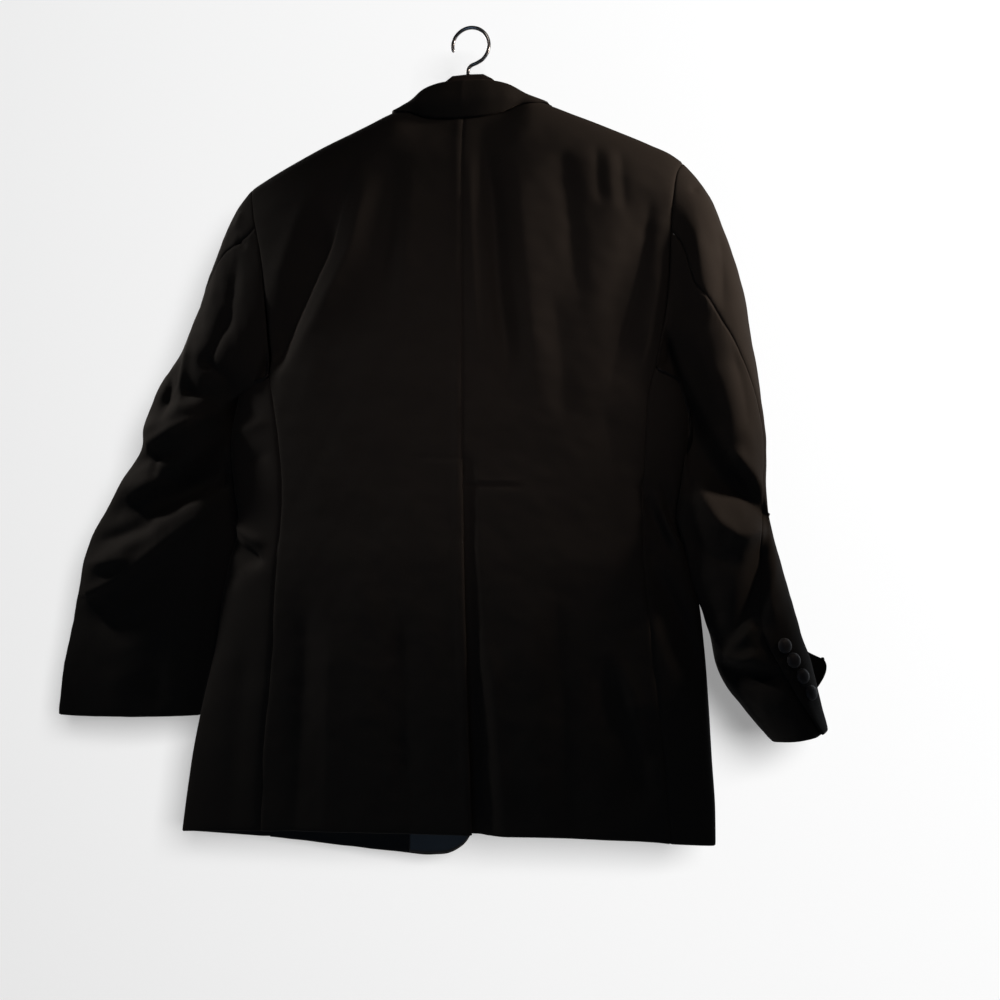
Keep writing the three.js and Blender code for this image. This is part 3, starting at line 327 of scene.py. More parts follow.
FRONT_CREASES = [
    (11, -4.6, 0.3, (0, 0.8), [(-138, -150), (-160, -230), (-206, -366)]),
    (10, 2.8, 0, (0, 0.4), [(-116, -160), (-140, -250), (-188, -380)]),
    (9, -4.4, 0, (0.3, 0), [(-205, -330), (-214, -380), (-226, -430)]),
    (16, 2.0, 0, (0, 0), [(-108, -300), (-112, -370), (-120, -450)]),
    (8, 3.4, 0.2, (0, 0.5), [(-152, -404), (-80, -446), (4, -466)]),
    (9, -2.6, 0, (0, 0.5), [(-124, -468), (-60, -472), (4, -474)]),
    (8, 3.2, 0, (0, 0.5), [(-150, -546), (-76, -506), (4, -478)]),
    (8, 3.2, 0, (0, 0.4), [(98, -396), (70, -440), (36, -462)]),
    (9, -2.4, 0, (0, 0.4), [(122, -466), (80, -472), (38, -472)]),
    (8, 3.2, 0, (0, 0.4), [(132, -548), (86, -510), (36, -482)]),
    (10, -4.4, 0.2, (0, 0.8), [(140, -150), (166, -240), (197, -370)]),
    (10, 2.8, 0, (0, 0.4), [(112, -170), (140, -270), (174, -382)]),
    (8, -5.0, 0.2, (0.3, 0), [(206, -478), (218, -520), (234, -566)]),
    (6, 3.6, 0, (0.3, 0), [(220, -478), (230, -514), (240, -548)]),
    (9, -4.6, 0.1, (0.4, 0), [(-208, -516), (-236, -548), (-266, -572)]),
    (15, -2.8, 0, (0, 0.7), [(-40, -640), (-50, -760), (-60, -890)]),
    (13, 2.4, 0, (0, 0.7), [(-128, -630), (-134, -760), (-140, -890)]),
    (13, -2.6, 0, (0, 0.7), [(-198, -650), (-206, -770), (-214, -890)]),
    (15, 2.6, 0, (0, 0.7), [(98, -640), (94, -750), (88, -866)]),
    (13, -2.4, 0, (0, 0.7), [(50, -620), (56, -740), (60, -866)]),
    (13, -2.6, 0, (0, 0.7), [(196, -660), (200, -760), (206, -868)]),
]
LEFT_SLEEVE_CREASES = [
    # Crumples above the first elbow fold
    (9, -10.0, 0, (0.3, 0.6), [(-334, -352), (-333, -384), (-340, -412)]),
    (6, 6.0, 0, (0.2, 0.4), [(-307, -328), (-313, -365), (-317, -402)]),
    (6, -5.0, 0, (0, 0.8), [(-256, -298), (-272, -338), (-284, -358)]),
    (7, -6.5, 0, (0.8, 0), [(-284, -358), (-262, -377), (-272, -403)]),
    (10, -9.0, 0, (0.2, 0.3), [(-322, -380), (-300, -392), (-266, -396)]),
    # Elbow folds and the deep hollows between them
    (9, 9.0, 0.3, (0.9, 0.3), [(-358, -444), (-319, -427), (-280, -414), (-246, -392)]),
    (11, 5.0, 0, (0, 0), [(-334, -462), (-294, -446), (-264, -424)]),
    (7, 7.0, 0, (0.8, 0), [(-386, -502), (-359, -491), (-334, -482)]),
    (5, -4.0, 0, (0, 0), [(-353, -442), (-351, -462), (-355, -484)]),
    (21, -20.0, 0, (0.3, 0.8), [(-366, -522), (-328, -503), (-288, -472), (-262, -434), (-245, -400)]),
    (13, -12.0, 0, (0.8, 0.2), [(-416, -550), (-382, -541), (-346, -526)]),
    (9, 5.0, 0, (0.8, 0), [(-434, -577), (-404, -574), (-372, -567)]),
    (10, 10.0, -0.3, (1, 0.3), [(-438, -609), (-401, -595), (-374, -579), (-347, -558), (-311, -532),
                               (-264, -487)]),
    # Quiet forearm
    (20, -4.0, 0, (0.6, 0), [(-446, -634), (-404, -646), (-350, -626)]),
    (20, 2.4, 0, (0, 0.4), [(-412, -690), (-396, -752)]),
    (15, -3.0, 0, (0, 0.4), [(-352, -650), (-366, -750)]),
    (11, -15.0, 0, (0.1, 0.9), [(-250, -425), (-260, -500), (-270, -550), (-280, -600), (-298, -735)]),
    # Long soft folds and a shine below the shoulder
    (10, 3.4, 0, (0, 0), [(-262, -204), (-274, -262), (-286, -322)]),
    (8, -4.0, 0, (0, 0), [(-246, -230), (-254, -290), (-262, -340)]),
    (6, 3.0, 0, (0, 0), [(-254, -216), (-246, -190)]),
    (4, -2.6, 0, (0, 0), [(-252, -226), (-236, -233)]),
]
LEFT_SLEEVE_EDGES = [
    (7, -15.0, 24, (0.4, 0.9), [(-304, -462), (-270, -427), (-247, -399), (-230, -370), (-218, -338),
                                (-214, -298)]),
]
RIGHT_SLEEVE_CREASES = [
    # Deep trough from the armpit to the elbow, and the long ridge below it
    (12, -17.0, 0.1, (0.8, 1), [(200, -314), (207, -347), (218, -385), (236, -430), (247, -460),
                               (260, -482), (284, -504), (312, -524)]),
    (16, -7.0, 0, (0.2, 0.2), [(238, -424), (250, -454), (272, -482)]),
    (8, 6.0, 0, (0.2, 0.3), [(270, -456), (286, -470), (304, -492), (315, -512)]),
    (12, 9.5, 0.2, (0.6, 0.9), [(228, -470), (244, -503), (264, -532), (288, -545), (314, -538)]),
    (10, -5.0, 0, (0.3, 0), [(232, -536), (258, -566), (292, -572)]),
    # Trough beside the seam, and the crest that the seam follows
    (9, -12.0, 0.3, (0.8, 0.4), [(312, -540), (303, -572), (295, -606), (276, -650)]),
    (8, 5.0, 0, (0.3, 0), [(322, -560), (315, -600), (320, -642)]),
    (12, -3.0, 0, (0, 0), [(246, -590), (258, -640)]),
    (8, -10.0, 0, (0.8, 0.2), [(226, -420), (234, -470), (236, -530), (240, -600)]),
    # Folds above the cuff
    (7, 7.0, 0, (0.4, 0), [(256, -660), (284, -671), (308, -660)]),
    (6, 6.0, 0, (0, 0), [(268, -661), (288, -648), (301, -632)]),
    (8, -11.0, 0, (0.7, 0.3), [(256, -677), (289, -684), (326, -688)]),
    (9, 3.0, 0, (0, 0), [(296, -712), (334, -716)]),
    # Soft folds of the upper arm
    (9, -5.0, 0, (0, 0), [(262, -232), (266, -270), (267, -326)]),
    (10, 3.0, 0, (0, 0), [(238, -216), (246, -280), (258, -334)]),
    (5, -3.0, 0, (0, 0), [(234, -198), (248, -176)]),
    (8, -3.6, 0, (0, 0), [(274, -350), (286, -396), (294, -448)]),
]
RIGHT_SLEEVE_EDGES = [
    (6, -12.0, 34, (0.9, 0.3), [(204, -308), (215, -345), (228, -381), (251, -429), (267, -458)]),
]

SLEEVE_COLUMNS = "at innerX innerZ outerX outerZ depth y farX farZ tuck seam"
SLEEVE_LEFT = table(SLEEVE_COLUMNS, [
    (0, -260, -386, -246, -162.5, 42, 0, 0, 0, 0, 52),
    (0.05, -263, -391, -261, -181, 44, 0, 0, 0, 0, 52),
    (0.1, -265, -396, -275, -204, 46, 0, 0, 0, 0, 46),
    (0.17, -268, -404, -291, -243, 47, 0, 0, 0, 0, 34),
    (0.25, -271, -415, -307, -291, 46, 1, 0, 0, 0, 22),
    (0.33, -273, -430, -326, -336, 44, 2, 0, 0, 0, 13),
    (0.41, -275, -450, -357, -379, 42, 4, 0, 0, 0, 7),
    (0.47, -277, -470, -374, -418, 40, 5, 0, 0, 0, 4),
    (0.52, -277, -490, -380, -447, 38, 6, 0, 0, 0, 2),
    (0.57, -278, -512, -407, -486, 37, 7, 0, 0, 0, -1),
    (0.63, -279, -540, -439, -538, 34, 8, 0, 0, 0, -5),
    (0.68, -281, -568, -452, -567, 32, 9, 0, 0, 0, -10),
    (0.75, -285, -604, -460, -604, 29, 10, 0, 0, 0, -16),
    (0.84, -293, -655, -472, -655, 26, 11, 0, 0, 0, -22),
    (0.92, -303, -700, -482, -700, 24, 12, 0, 0, 0, -28),
    (1, -313, -747, -488, -750, 22, 12, 0, 3, 0, -34),
])
SLEEVE_RIGHT = table(SLEEVE_COLUMNS, [
    (0, 225, -386, 226, -157.5, 42, 0, 0, 0, 0, 74),
    (0.05, 228, -391, 243, -178, 44, 0, 0, 0, 0, 81),
    (0.1, 230, -396, 256, -200, 46, 0, 0, 0, 0, 85),
    (0.17, 233, -404, 272, -240, 47, 0, 0, 0, 0, 79),
    (0.25, 235, -418, 286, -285, 46, 1, 0, 0, 0, 72),
    (0.33, 236, -438, 296, -340, 44, 2, 0, 0, 0, 53),
    (0.42, 235, -470, 306, -402, 43, 3, 0, 0, 0, 30),
    (0.5, 231, -500, 311, -452, 42, 4, 0, 0, 0, 18),
    (0.57, 229, -528, 312, -503, 41, 5, 0, 0, 0, 22),
    (0.64, 236, -562, 319, -548, 41, 6, 0, 4, 0, 46),
    (0.72, 243, -604, 332, -594, 42, 7, 2, 12, 0, 70),
    (0.8, 253, -650, 345, -640, 43, 8, 4, 12, 3, 80),
    (0.87, 264, -690, 356, -673, 44, 8, 12, 30, 8, 71),
    (0.94, 290, -727, 365, -711, 44, 8, 20, 52, 14, 61),
    (1, 315, -757, 373, -744, 44, 8, 26, 74, 18, 42),
])


# How far a sleeve's inner side leans over the body's edge, as it does in the photograph's view
SNUG_LEFT = table("z shift", [
    (-390, 0), (-430, 9), (-460, 15), (-528, 23), (-571, 17), (-606, 12), (-660, 7), (-720, 0),
])
SNUG_RIGHT = table("z shift", [
    (-385, 0), (-410, -8), (-440, -12), (-500, -13), (-528, -15), (-562, -13), (-600, -12),
    (-622, -5), (-650, 0),
])


def mix(a, b, t):
    return a + (b - a) * t


def smooth(start, end, value):
    t = np.clip((value - start) / (end - start), 0, 1)
    return t * t * (3 - 2 * t)


def curve(rows, by, column):
    """A smooth curve through one column of a table, read by another column."""
    order = np.argsort(rows[by])
    at = rows[by][order]
    values = rows[column][order]
    span = np.diff(at)
    slope = np.diff(values) / span
    tangent = np.empty_like(values)
    tangent[0] = slope[0]
    tangent[-1] = slope[-1]
    tangent[1:-1] = (slope[:-1] * span[1:] + slope[1:] * span[:-1]) / (span[:-1] + span[1:])

    def read(value):
        value = np.asarray(value, float)
        i = np.clip(np.searchsorted(at, value) - 1, 0, len(span) - 1)
        t = np.clip((value - at[i]) / span[i], 0, 1)
        start = (2 * t**3 - 3 * t**2 + 1) * values[i] + (t**3 - 2 * t**2 + t) * span[i] * tangent[i]
        end = (3 * t**2 - 2 * t**3) * values[i + 1] + (t**3 - t**2) * span[i] * tangent[i + 1]
        before = tangent[0] * np.minimum(value - at[0], 0)
        after = tangent[-1] * np.maximum(value - at[-1], 0)
        return start + end + before + after

    return read


def curves(rows, by):
    readers = {name: curve(rows, by, name) for name in rows if name != by}
    return lambda value: {name: read(value) for name, read in readers.items()}


body = curves(BODY, "z")
top_line = curve(TOP, "x", "z")
hem_back = curve(HEM_BACK, "x", "z")
hem_front_left = curve(HEM_FRONT_LEFT, "x", "z")
hem_front_right = curve(HEM_FRONT_RIGHT, "x", "z")
centre_back = curve(CENTRE_BACK, "z", "x")
edge_left = curve(BACK_EDGE, "z", "left")
edge_right = curve(BACK_EDGE, "z", "right")
front_edge_left = curve(FRONT_EDGE, "z", "left")
front_edge_right = curve(FRONT_EDGE, "z", "right")


def seam_shift(z):
    return FRONT_SEAM_SHIFT * smooth(ARMPIT, -470, z)


def front_seam_left(z):
    return edge_left(z) - seam_shift(z)


def front_seam_right(z):
    return edge_right(z) + seam_shift(z)


def spline(points, shares):
    """A centripetal curve through a few points, each an array of places, at shares of its length."""
    points = [2 * points[0] - points[1], *points, 2 * points[-1] - points[-2]]
    last = len(points) - 3
    made = []
    for share in shares:
        place = share * last
        i = min(int(place), last - 1)
        t = place - i
        p0, p1, p2, p3 = points[i:i + 4]
        d0, d1, d2 = (
            np.maximum(np.sqrt(np.linalg.norm(b - a, axis=-1, keepdims=True)), 1e-4)
            for a, b in ((p0, p1), (p1, p2), (p2, p3))
        )
        m1 = ((p1 - p0) / d0 - (p2 - p0) / (d0 + d1) + (p2 - p1) / d1) * d1
        m2 = ((p2 - p1) / d1 - (p3 - p1) / (d1 + d2) + (p3 - p2) / d2) * d1
        start = p1 + m1 * t + (-3 * p1 + 3 * p2 - 2 * m1 - m2) * t**2
        made.append(start + (2 * p1 - 2 * p2 + m1 + m2) * t**3)
    return made


def fold_rise(folds, x, z):
    """Rise of the cloth where the model's folds pass."""
    rise = np.zeros(np.broadcast(x, z).shape)
    for n in range(len(folds["x1"])):
        x1, z1, width = folds["x1"][n], folds["z1"][n], folds["width"][n]
        dx = folds["x2"][n] - x1
        dz = folds["z2"][n] - z1
        length = math.hypot(dx, dz)
        t = ((x - x1) * dx + (z - z1) * dz) / length**2
        across = ((x - x1) * dz - (z - z1) * dx) / length
        ends = smooth(-0.12, 0.22, t) * (1 - smooth(0.78, 1.12, t))
        rise += folds["rise"][n] * ends * np.exp(-((across / width) ** 2))
    return rise


def beside_path(x, z, places):
    """Distance from a smooth path, its sign by side, and how far along the path the nearest place is."""
    steps = 24
    fine = np.array(spline([np.array(place, float) for place in places], np.linspace(0, 1, steps + 1)))
    nearest = np.full(np.shape(x), np.inf)
    signed = np.zeros(np.shape(x))
    along = np.zeros(np.shape(x))
    for k, (corner, span) in enumerate(zip(fine[:-1], np.diff(fine, axis=0))):
        off_x, off_z = x - corner[0], z - corner[1]
        t = np.clip((off_x * span[0] + off_z * span[1]) / (span @ span), 0, 1)
        distance = np.hypot(off_x - t * span[0], off_z - t * span[1])
        side_of = np.sign(off_x * span[1] - off_z * span[0])
        closer = distance < nearest
        nearest = np.where(closer, distance, nearest)
        signed = np.where(closer, distance * side_of, signed)
        along = np.where(closer, (k + t) / steps, along)
    return nearest, signed, along


def end_share(along, ends):
    """Strength of a crease along its path, from its share at one end to that at the other."""
    start = mix(ends[0], 1, smooth(0, 0.3, along))
    return start * mix(1, ends[1], smooth(0.7, 1, along))


def crease_rise(creases, x, z):
    """Rise of the cloth where creases pass."""
    rise = np.zeros(np.shape(x))
    for width, height, lean, ends, places in creases:
        distance, signed, along = beside_path(x, z, places)
        flank = width * (1 + lean * np.tanh(signed / width))
        rise += height * end_share(along, ends) * np.exp(-((distance / flank) ** CREASE_POINT))
    return rise


def edge_rise(edges, x, z):
    """Drop of the cloth on one side of a folded edge, which fades out further on."""
    rise = np.zeros(np.shape(x))
    for width, height, reach, ends, places in edges:
        _, signed, along = beside_path(x, z, places)
        past = smooth(0, width, signed) * (1 - smooth(reach, reach * 1.8, signed))
        rise += height * end_share(along, ends) * past
    return rise


def unevenness(points, size, seed, waves=14):
    """Smooth random height between about -1 and 1, with bumps of about that size."""
    random = np.random.default_rng(seed)
    height = np.zeros(points.shape[:-1])
    for _ in range(waves):
        direction = random.normal(size=3)
        direction *= 2 * math.pi / (np.linalg.norm(direction) * size * random.uniform(0.7, 1.6))
        height += np.sin(points @ direction + random.uniform(0, 2 * math.pi))
    return height / math.sqrt(waves)


def row_level(hem, x, v):
    """Level of a panel's row: up to the armpit, on to the shoulder, then round to the seam."""
    shoulder = top_line(x) - SHOULDER_ROUND
    low = mix(hem(x), ARMPIT, v / ARMPIT_SHARE)
    high = mix(ARMPIT, shoulder, (v - ARMPIT_SHARE) / (ROUND_SHARE - ARMPIT_SHARE))
    turn = (v - ROUND_SHARE) / (1 - ROUND_SHARE) * math.pi / 2
    over = shoulder + SHOULDER_ROUND * np.sin(turn)
    return np.where(v <= ARMPIT_SHARE, low, np.where(v <= ROUND_SHARE, high, over))


def meet(hem, line, v):
    """Where a row of the panel meets a line that is given by level."""
    x = line(np.full(np.shape(v), float(ARMPIT)))
    for _ in range(12):
        x = line(row_level(hem, x, v))
    return x


def body_depth(side, x, z):
    section = body(z)
    centre = (section["left"] + section["right"]) / 2
    half = (section["right"] - section["left"]) / 2
    out = np.clip(np.abs(x - centre) / half, 0, 1)
    edge = (1 - out**EDGE_POWER) ** (1 / EDGE_POWER)
    neck = np.maximum(0, 1 - (x / NECK_HALF) ** 2) if side < 0 else 0
    below = np.clip((top_line(x) - z) / SHOULDER_ROUND, 0, 1)
    round_over = 1 - (1 - below) ** 2
    over = mix(np.sqrt(round_over), round_over, neck)
    return section["back" if side < 0 else "front"] * edge * mix(NECK_DEPTH * neck, 1, over)


def edge_fade(depth):
    """Share of its folds that the body keeps where it is this deep."""
    return smooth(0, EDGE_FADE, depth)


def body_point(side, x, z):
    depth = body_depth(side, x, z)
    folds = fold_rise(BACK_FOLDS if side < 0 else FRONT_FOLDS, x, z)
    y = side * (depth + folds * edge_fade(depth) + SEAM_GAP / 2)
    return np.stack(np.broadcast_arrays(x, y, z), -1)


def grid_normals(points, hint):
    """Normals of a grid of points, on the side that the hint vectors point to."""
    across = np.gradient(points, axis=1)
    along = np.gradient(points, axis=0)
    normals = np.cross(across, along)
    normals /= np.maximum(np.linalg.norm(normals, axis=-1, keepdims=True), 1e-9)
    return normals if np.mean(np.sum(normals * hint, -1)) > 0 else -normals


def hint_along(points, axis, sign):
    """Vectors along one axis, which say where out is for a grid of points."""
    hint = np.zeros_like(points)
    hint[..., axis] = sign
    return hint


def arc(points, axis):
    """Distance along the cloth from the first row or column of a grid."""
    steps = np.linalg.norm(np.diff(points, axis=axis), axis=-1)
    lengths = np.cumsum(steps, axis=axis)
    return np.insert(lengths, 0, 0, axis=axis)


def mesh_object(name, vertices, faces, material, attributes=None):
    """A smooth closed mesh with its faces turned out, from points in millimetres."""
    vertices = np.asarray(vertices, float) / METRE
    mesh = bpy.data.meshes.new(name)
    mesh.from_pydata(vertices.tolist(), [], faces)
    solid = bmesh.new()
    solid.from_mesh(mesh)
    if solid.calc_volume(signed=True) < 0:
        mesh.flip_normals()
    solid.free()
    for key, values in (attributes or {}).items():
        layer = mesh.attributes.new(key, "FLOAT_VECTOR", "POINT")
        layer.data.foreach_set("vector", np.asarray(values, np.float32).ravel())
    mesh.shade_smooth()
    mesh.materials.append(material)
    made = bpy.data.objects.new(name, mesh)
    bpy.context.scene.collection.objects.link(made)
    return made


def shell(name, outer, inner, material):
    """A closed wall of cloth between two grids of points, with a rounded rim."""
    rows, columns = outer.shape[:2]
    index = np.arange(rows * columns).reshape(rows, columns)
    layer = rows * columns
    quads = np.stack([index[:-1, :-1], index[:-1, 1:], index[1:, 1:], index[1:, :-1]], -1).reshape(-1, 4)
    boundary = np.concatenate([index[0, :-1], index[:-1, -1], index[-1, :0:-1], index[:0:-1, 0]])
    inward = np.concatenate([
        np.stack([index[1, :-1], index[0, :-1]], -1),
        np.stack([index[:-1, -2], index[:-1, -1]], -1),
        np.stack([index[-2, :0:-1], index[-1, :0:-1]], -1),
        np.stack([index[:0:-1, 1], index[:0:-1, 0]], -1),
    ])
    flat_outer = outer.reshape(-1, 3)
    flat_inner = inner.reshape(-1, 3)
    away = flat_outer[inward[:, 1]] - flat_outer[inward[:, 0]]
    away /= np.maximum(np.linalg.norm(away, axis=-1, keepdims=True), 1e-9)
    thickness = np.linalg.norm(flat_outer[boundary] - flat_inner[boundary], axis=-1, keepdims=True)
    middle = (flat_outer[boundary] + flat_inner[boundary]) / 2 + away * thickness * RIM_BULGE
    vertices = np.concatenate([flat_outer, flat_inner, middle])
    rim = 2 * layer + np.arange(len(boundary))
    following = np.roll(boundary, -1)
    following_rim = np.roll(rim, -1)
    faces = np.concatenate([
        quads,
        quads[:, ::-1] + layer,
        np.stack([boundary, rim, following_rim, following], -1),
        np.stack([rim, boundary + layer, following + layer, following_rim], -1),
    ])
    u = arc(outer, 1).reshape(-1)
    v = arc(outer, 0).reshape(-1)
    cloth = np.zeros((len(vertices), 3))
    cloth[:layer, 0] = u
    cloth[:layer, 1] = v
    cloth[layer:2 * layer] = cloth[:layer]
    cloth[2 * layer:] = cloth[boundary]
    cloth /= METRE
    cloth[layer:2 * layer, 2] = 1
    made = mesh_object(name, vertices, faces.tolist(), material, {"cloth": cloth})
    made["cut"] = [float(arc(outer, 1)[:, -1].max()), float(arc(outer, 0)[-1].max()), cell_area(outer)]
    return made


def cell_area(points):
    across = points[:-1, 1:] - points[:-1, :-1]
    along = points[1:, :-1] - points[:-1, :-1]
    far = points[1:, 1:] - points[:-1, :-1]
    first = np.linalg.norm(np.cross(across, far), axis=-1)
    second = np.linalg.norm(np.cross(far, along), axis=-1)
    return float((first + second).sum() / 2)


def seam_roll(points, left=0.0, right=0.0, low=0.0, high=0.0):
    """How far the cloth sinks towards its sewn edges, with the small puckers that sewing leaves."""
    across = arc(points, 1)
    up = arc(points, 0)
    sink = np.zeros(points.shape[:2])
    sides = [
        (across, up, left),
        (across[:, -1:] - across, up, right),
        (up, across, low),
        (up[-1:] - up, across, high),
    ]
    for distance, along, depth in sides:
        sink -= depth * np.exp(-((distance / SEAM_ROLL) ** 2))
        pucker = np.sin(along / 1.35 + 1.7 * np.sin(along / 23.0)) * np.exp(-((distance - 4) / 5) ** 2)
        sink += 0.12 * np.abs(depth) * pucker
    return sink


def two_sides(points, hint, rise, thickness):
    """The points moved out by a height, and an inside a thickness behind them."""
    outer = points + grid_normals(points, hint) * rise[..., None]
    return outer, outer - grid_normals(outer, hint) * thickness


def principled(name, roughness, sheen=0.0, sheen_roughness=0.5, specular=0.5, metallic=0.0):
    """A material, its shader with the values that are the same all over, and its nodes."""
    material = bpy.data.materials.new(name)
    material.use_nodes = True
    shader = material.node_tree.nodes["Principled BSDF"]
    shader.inputs["Roughness"].default_value = roughness
    shader.inputs["Metallic"].default_value = metallic
    shader.inputs["Specular IOR Level"].default_value = specular
    shader.inputs["Sheen Weight"].default_value = sheen
    shader.inputs["Sheen Roughness"].default_value = sheen_roughness
    return material, shader, Nodes(material)


class Nodes:
    """Short calls for the few node kinds that the materials use."""

    def __init__(self, material):
        self.tree = material.node_tree

    def add(self, kind, inputs=(), **settings):
        node = self.tree.nodes.new(kind)
        for key, value in settings.items():
            setattr(node, key, value)
        for key, value in dict(inputs).items():
            if isinstance(value, bpy.types.NodeSocket):
                self.tree.links.new(value, node.inputs[key])
            else:
                node.inputs[key].default_value = value
        return node

    def math(self, operation, a, b=0.0):
        return self.add("ShaderNodeMath", {0: a, 1: b}, operation=operation).outputs[0]

    def noise(self, vector, scale, detail=2.0, roughness=0.5):
        inputs = {"Vector": vector, "Scale": scale, "Detail": detail, "Roughness": roughness}
        return self.add("ShaderNodeTexNoise", inputs).outputs["Fac"]

    def wave(self, vector, scale, direction, distortion=0.0):
        inputs = {"Vector": vector, "Scale": scale, "Distortion": distortion}
        node = self.add("ShaderNodeTexWave", inputs, wave_type="BANDS", bands_direction=direction)
        return node.outputs["Fac"]

    def ramp(self, value, start, end):
        inputs = {"Value": value, "To Min": start, "To Max": end}
        return self.add("ShaderNodeMapRange", inputs).outputs["Result"]

    def blend(self, factor, first, second):
        node = self.add("ShaderNodeMix", data_type="RGBA")
        self.tree.links.new(factor, node.inputs["Factor"])
        for socket, value in ((node.inputs[6], first), (node.inputs[7], second)):
            if isinstance(value, bpy.types.NodeSocket):
                self.tree.links.new(value, socket)
            else:
                socket.default_value = (*value, 1)
        return node.outputs[2]

    def object_place(self):
        return self.add("ShaderNodeTexCoord").outputs["Object"]

    def cloth_place(self):
        """Place on the cut cloth in metres, and 1 on the lining's side."""
        attribute = self.add("ShaderNodeAttribute", attribute_name="cloth").outputs["Vector"]
        return attribute, self.add("ShaderNodeSeparateXYZ", {"Vector": attribute}).outputs["Z"]

    def dress(self, shader, colour, roughness, height, strength, distance):
        """Join a colour, a varying roughness if there is one, and a bump to the shader."""
        inputs = {"Height": height, "Strength": strength, "Distance": distance}
        normal = self.add("ShaderNodeBump", inputs).outputs["Normal"]
        for name, output in (("Base Color", colour), ("Roughness", roughness), ("Normal", normal)):
            if output is not None:
                self.tree.links.new(output, shader.inputs[name])


def wool_material():
    """Black twill with a faint warm nap outside, and a smooth black lining inside."""
    material, shader, nodes = principled("wool_twill", 0.85, sheen=0.05, sheen_roughness=0.3, specular=0.3)
    shader.inputs["Sheen Tint"].default_value = (0.9, 0.78, 0.7, 1)
    place, inside = nodes.cloth_place()
    turned = nodes.add("ShaderNodeMapping", {"Vector": place, "Rotation": (0, 0, math.radians(52))})
    twill = nodes.wave(turned.outputs["Vector"], 300.0, "X", 0.6)
    yarn = nodes.wave(place, 520.0, "Y", 0.4)
    fuzz = nodes.noise(place, 900.0, 4.0, 0.6)
    patches = nodes.noise(place, 22.0, 3.0)
    grain = nodes.math("ADD", nodes.math("MULTIPLY", twill, 0.5), nodes.math("MULTIPLY", fuzz, 0.5))
    grain = nodes.math("ADD", grain, nodes.math("MULTIPLY", yarn, 0.15))
    dark = nodes.blend(nodes.ramp(grain, -0.2, 1.1), (0.0085, 0.0074, 0.0066), (0.0185, 0.0158, 0.0138))
    worn = nodes.blend(nodes.ramp(patches, 0.0, 0.5), dark, (0.0155, 0.0132, 0.0118))
    streaks = nodes.wave(place, 260.0, "X", 0.3)
    lining = nodes.blend(streaks, (0.0025, 0.0025, 0.003), (0.0045, 0.0045, 0.0055))
    colour = nodes.blend(inside, worn, lining)
    height = nodes.math("MULTIPLY", grain, nodes.math("SUBTRACT", 1.0, inside))
    nodes.dress(shader, colour, nodes.ramp(inside, 0.88, 0.62), height, 0.35, 0.0004)
    return material


def satin_material():
    """Blue-black satin with fine threads across."""
    material, shader, nodes = principled("satin_face", 0.34, sheen=0.1, sheen_roughness=0.3, specular=0.6)
    place, _ = nodes.cloth_place()
    threads = nodes.wave(place, 420.0, "Y", 0.8)
    cloudy = nodes.noise(place, 60.0, 3.0)
    colour = nodes.blend(cloudy, (0.0125, 0.0135, 0.0165), (0.020, 0.0215, 0.026))
    nodes.dress(shader, colour, nodes.ramp(cloudy, 0.28, 0.42), threads, 0.16, 0.0003)
    return material


def covered_material():
    """Ribbed silk stretched over a button."""
    material, shader, nodes = principled("button_cover", 0.55, sheen=0.25, sheen_roughness=0.4, specular=0.45)
    place = nodes.object_place()
    ribs = nodes.wave(place, 330.0, "DIAGONAL", 0.5)
    fuzz = nodes.noise(place, 1400.0, 3.0)
    height = nodes.math("ADD", nodes.math("MULTIPLY", ribs, 0.7), nodes.math("MULTIPLY", fuzz, 0.3))
    colour = nodes.blend(height, (0.010, 0.0095, 0.012), (0.024, 0.022, 0.026))
    nodes.dress(shader, colour, None, height, 0.4, 0.0003)
    return material


def plastic_material():
    """Dark moulded plastic with a fine grain and rubbed places."""
    material, shader, nodes = principled("hanger_plastic", 0.5, specular=0.4)
    place = nodes.object_place()
    rubbed = nodes.noise(place, 30.0, 4.0)
    grain = nodes.noise(place, 1600.0, 2.0)
    colour = nodes.blend(rubbed, (0.022, 0.016, 0.014), (0.040, 0.030, 0.027))
    nodes.dress(shader, colour, nodes.ramp(rubbed, 0.4, 0.62), grain, 0.12, 0.0002)
    return material


def steel_material():
    """Polished wire with fine drawing lines."""
    material, shader, nodes = principled("hook_steel", 0.22, metallic=1.0)
    drawn = nodes.noise(nodes.object_place(), 260.0, 4.0)
    colour = nodes.blend(drawn, (0.52, 0.53, 0.55), (0.66, 0.67, 0.69))
    nodes.dress(shader, colour, nodes.ramp(drawn, 0.16, 0.34), drawn, 0.05, 0.0002)
    return material


WOOL = wool_material()
SATIN_FACE = satin_material()
COVERED = covered_material()
PLASTIC = plastic_material()
STEEL = steel_material()


def panel_rows():
    """Shares along a panel, in finer rows than the model's."""
    low, high, over = PANEL_ROWS
    return np.concatenate([
        np.linspace(0, ARMPIT_SHARE, low, endpoint=False),
        np.linspace(ARMPIT_SHARE, ROUND_SHARE, high, endpoint=False),
        np.linspace(ROUND_SHARE, 1, over + 1),
    ])


def cloth_rise(points, side, creases, seed):
    """Creases and unevenness over a panel, none where the body turns edge-on."""
    x, z = points[..., 0], points[..., 2]
    depth = body_depth(side, x, z)
    small = 0.35 * unevenness(points, 52, seed) + 0.14 * unevenness(points, 19, seed + 1)
    over = smooth(0, TOP_FADE, top_line(x) - z)
    return (crease_rise(creases, x, z) + small) * edge_fade(depth) * over


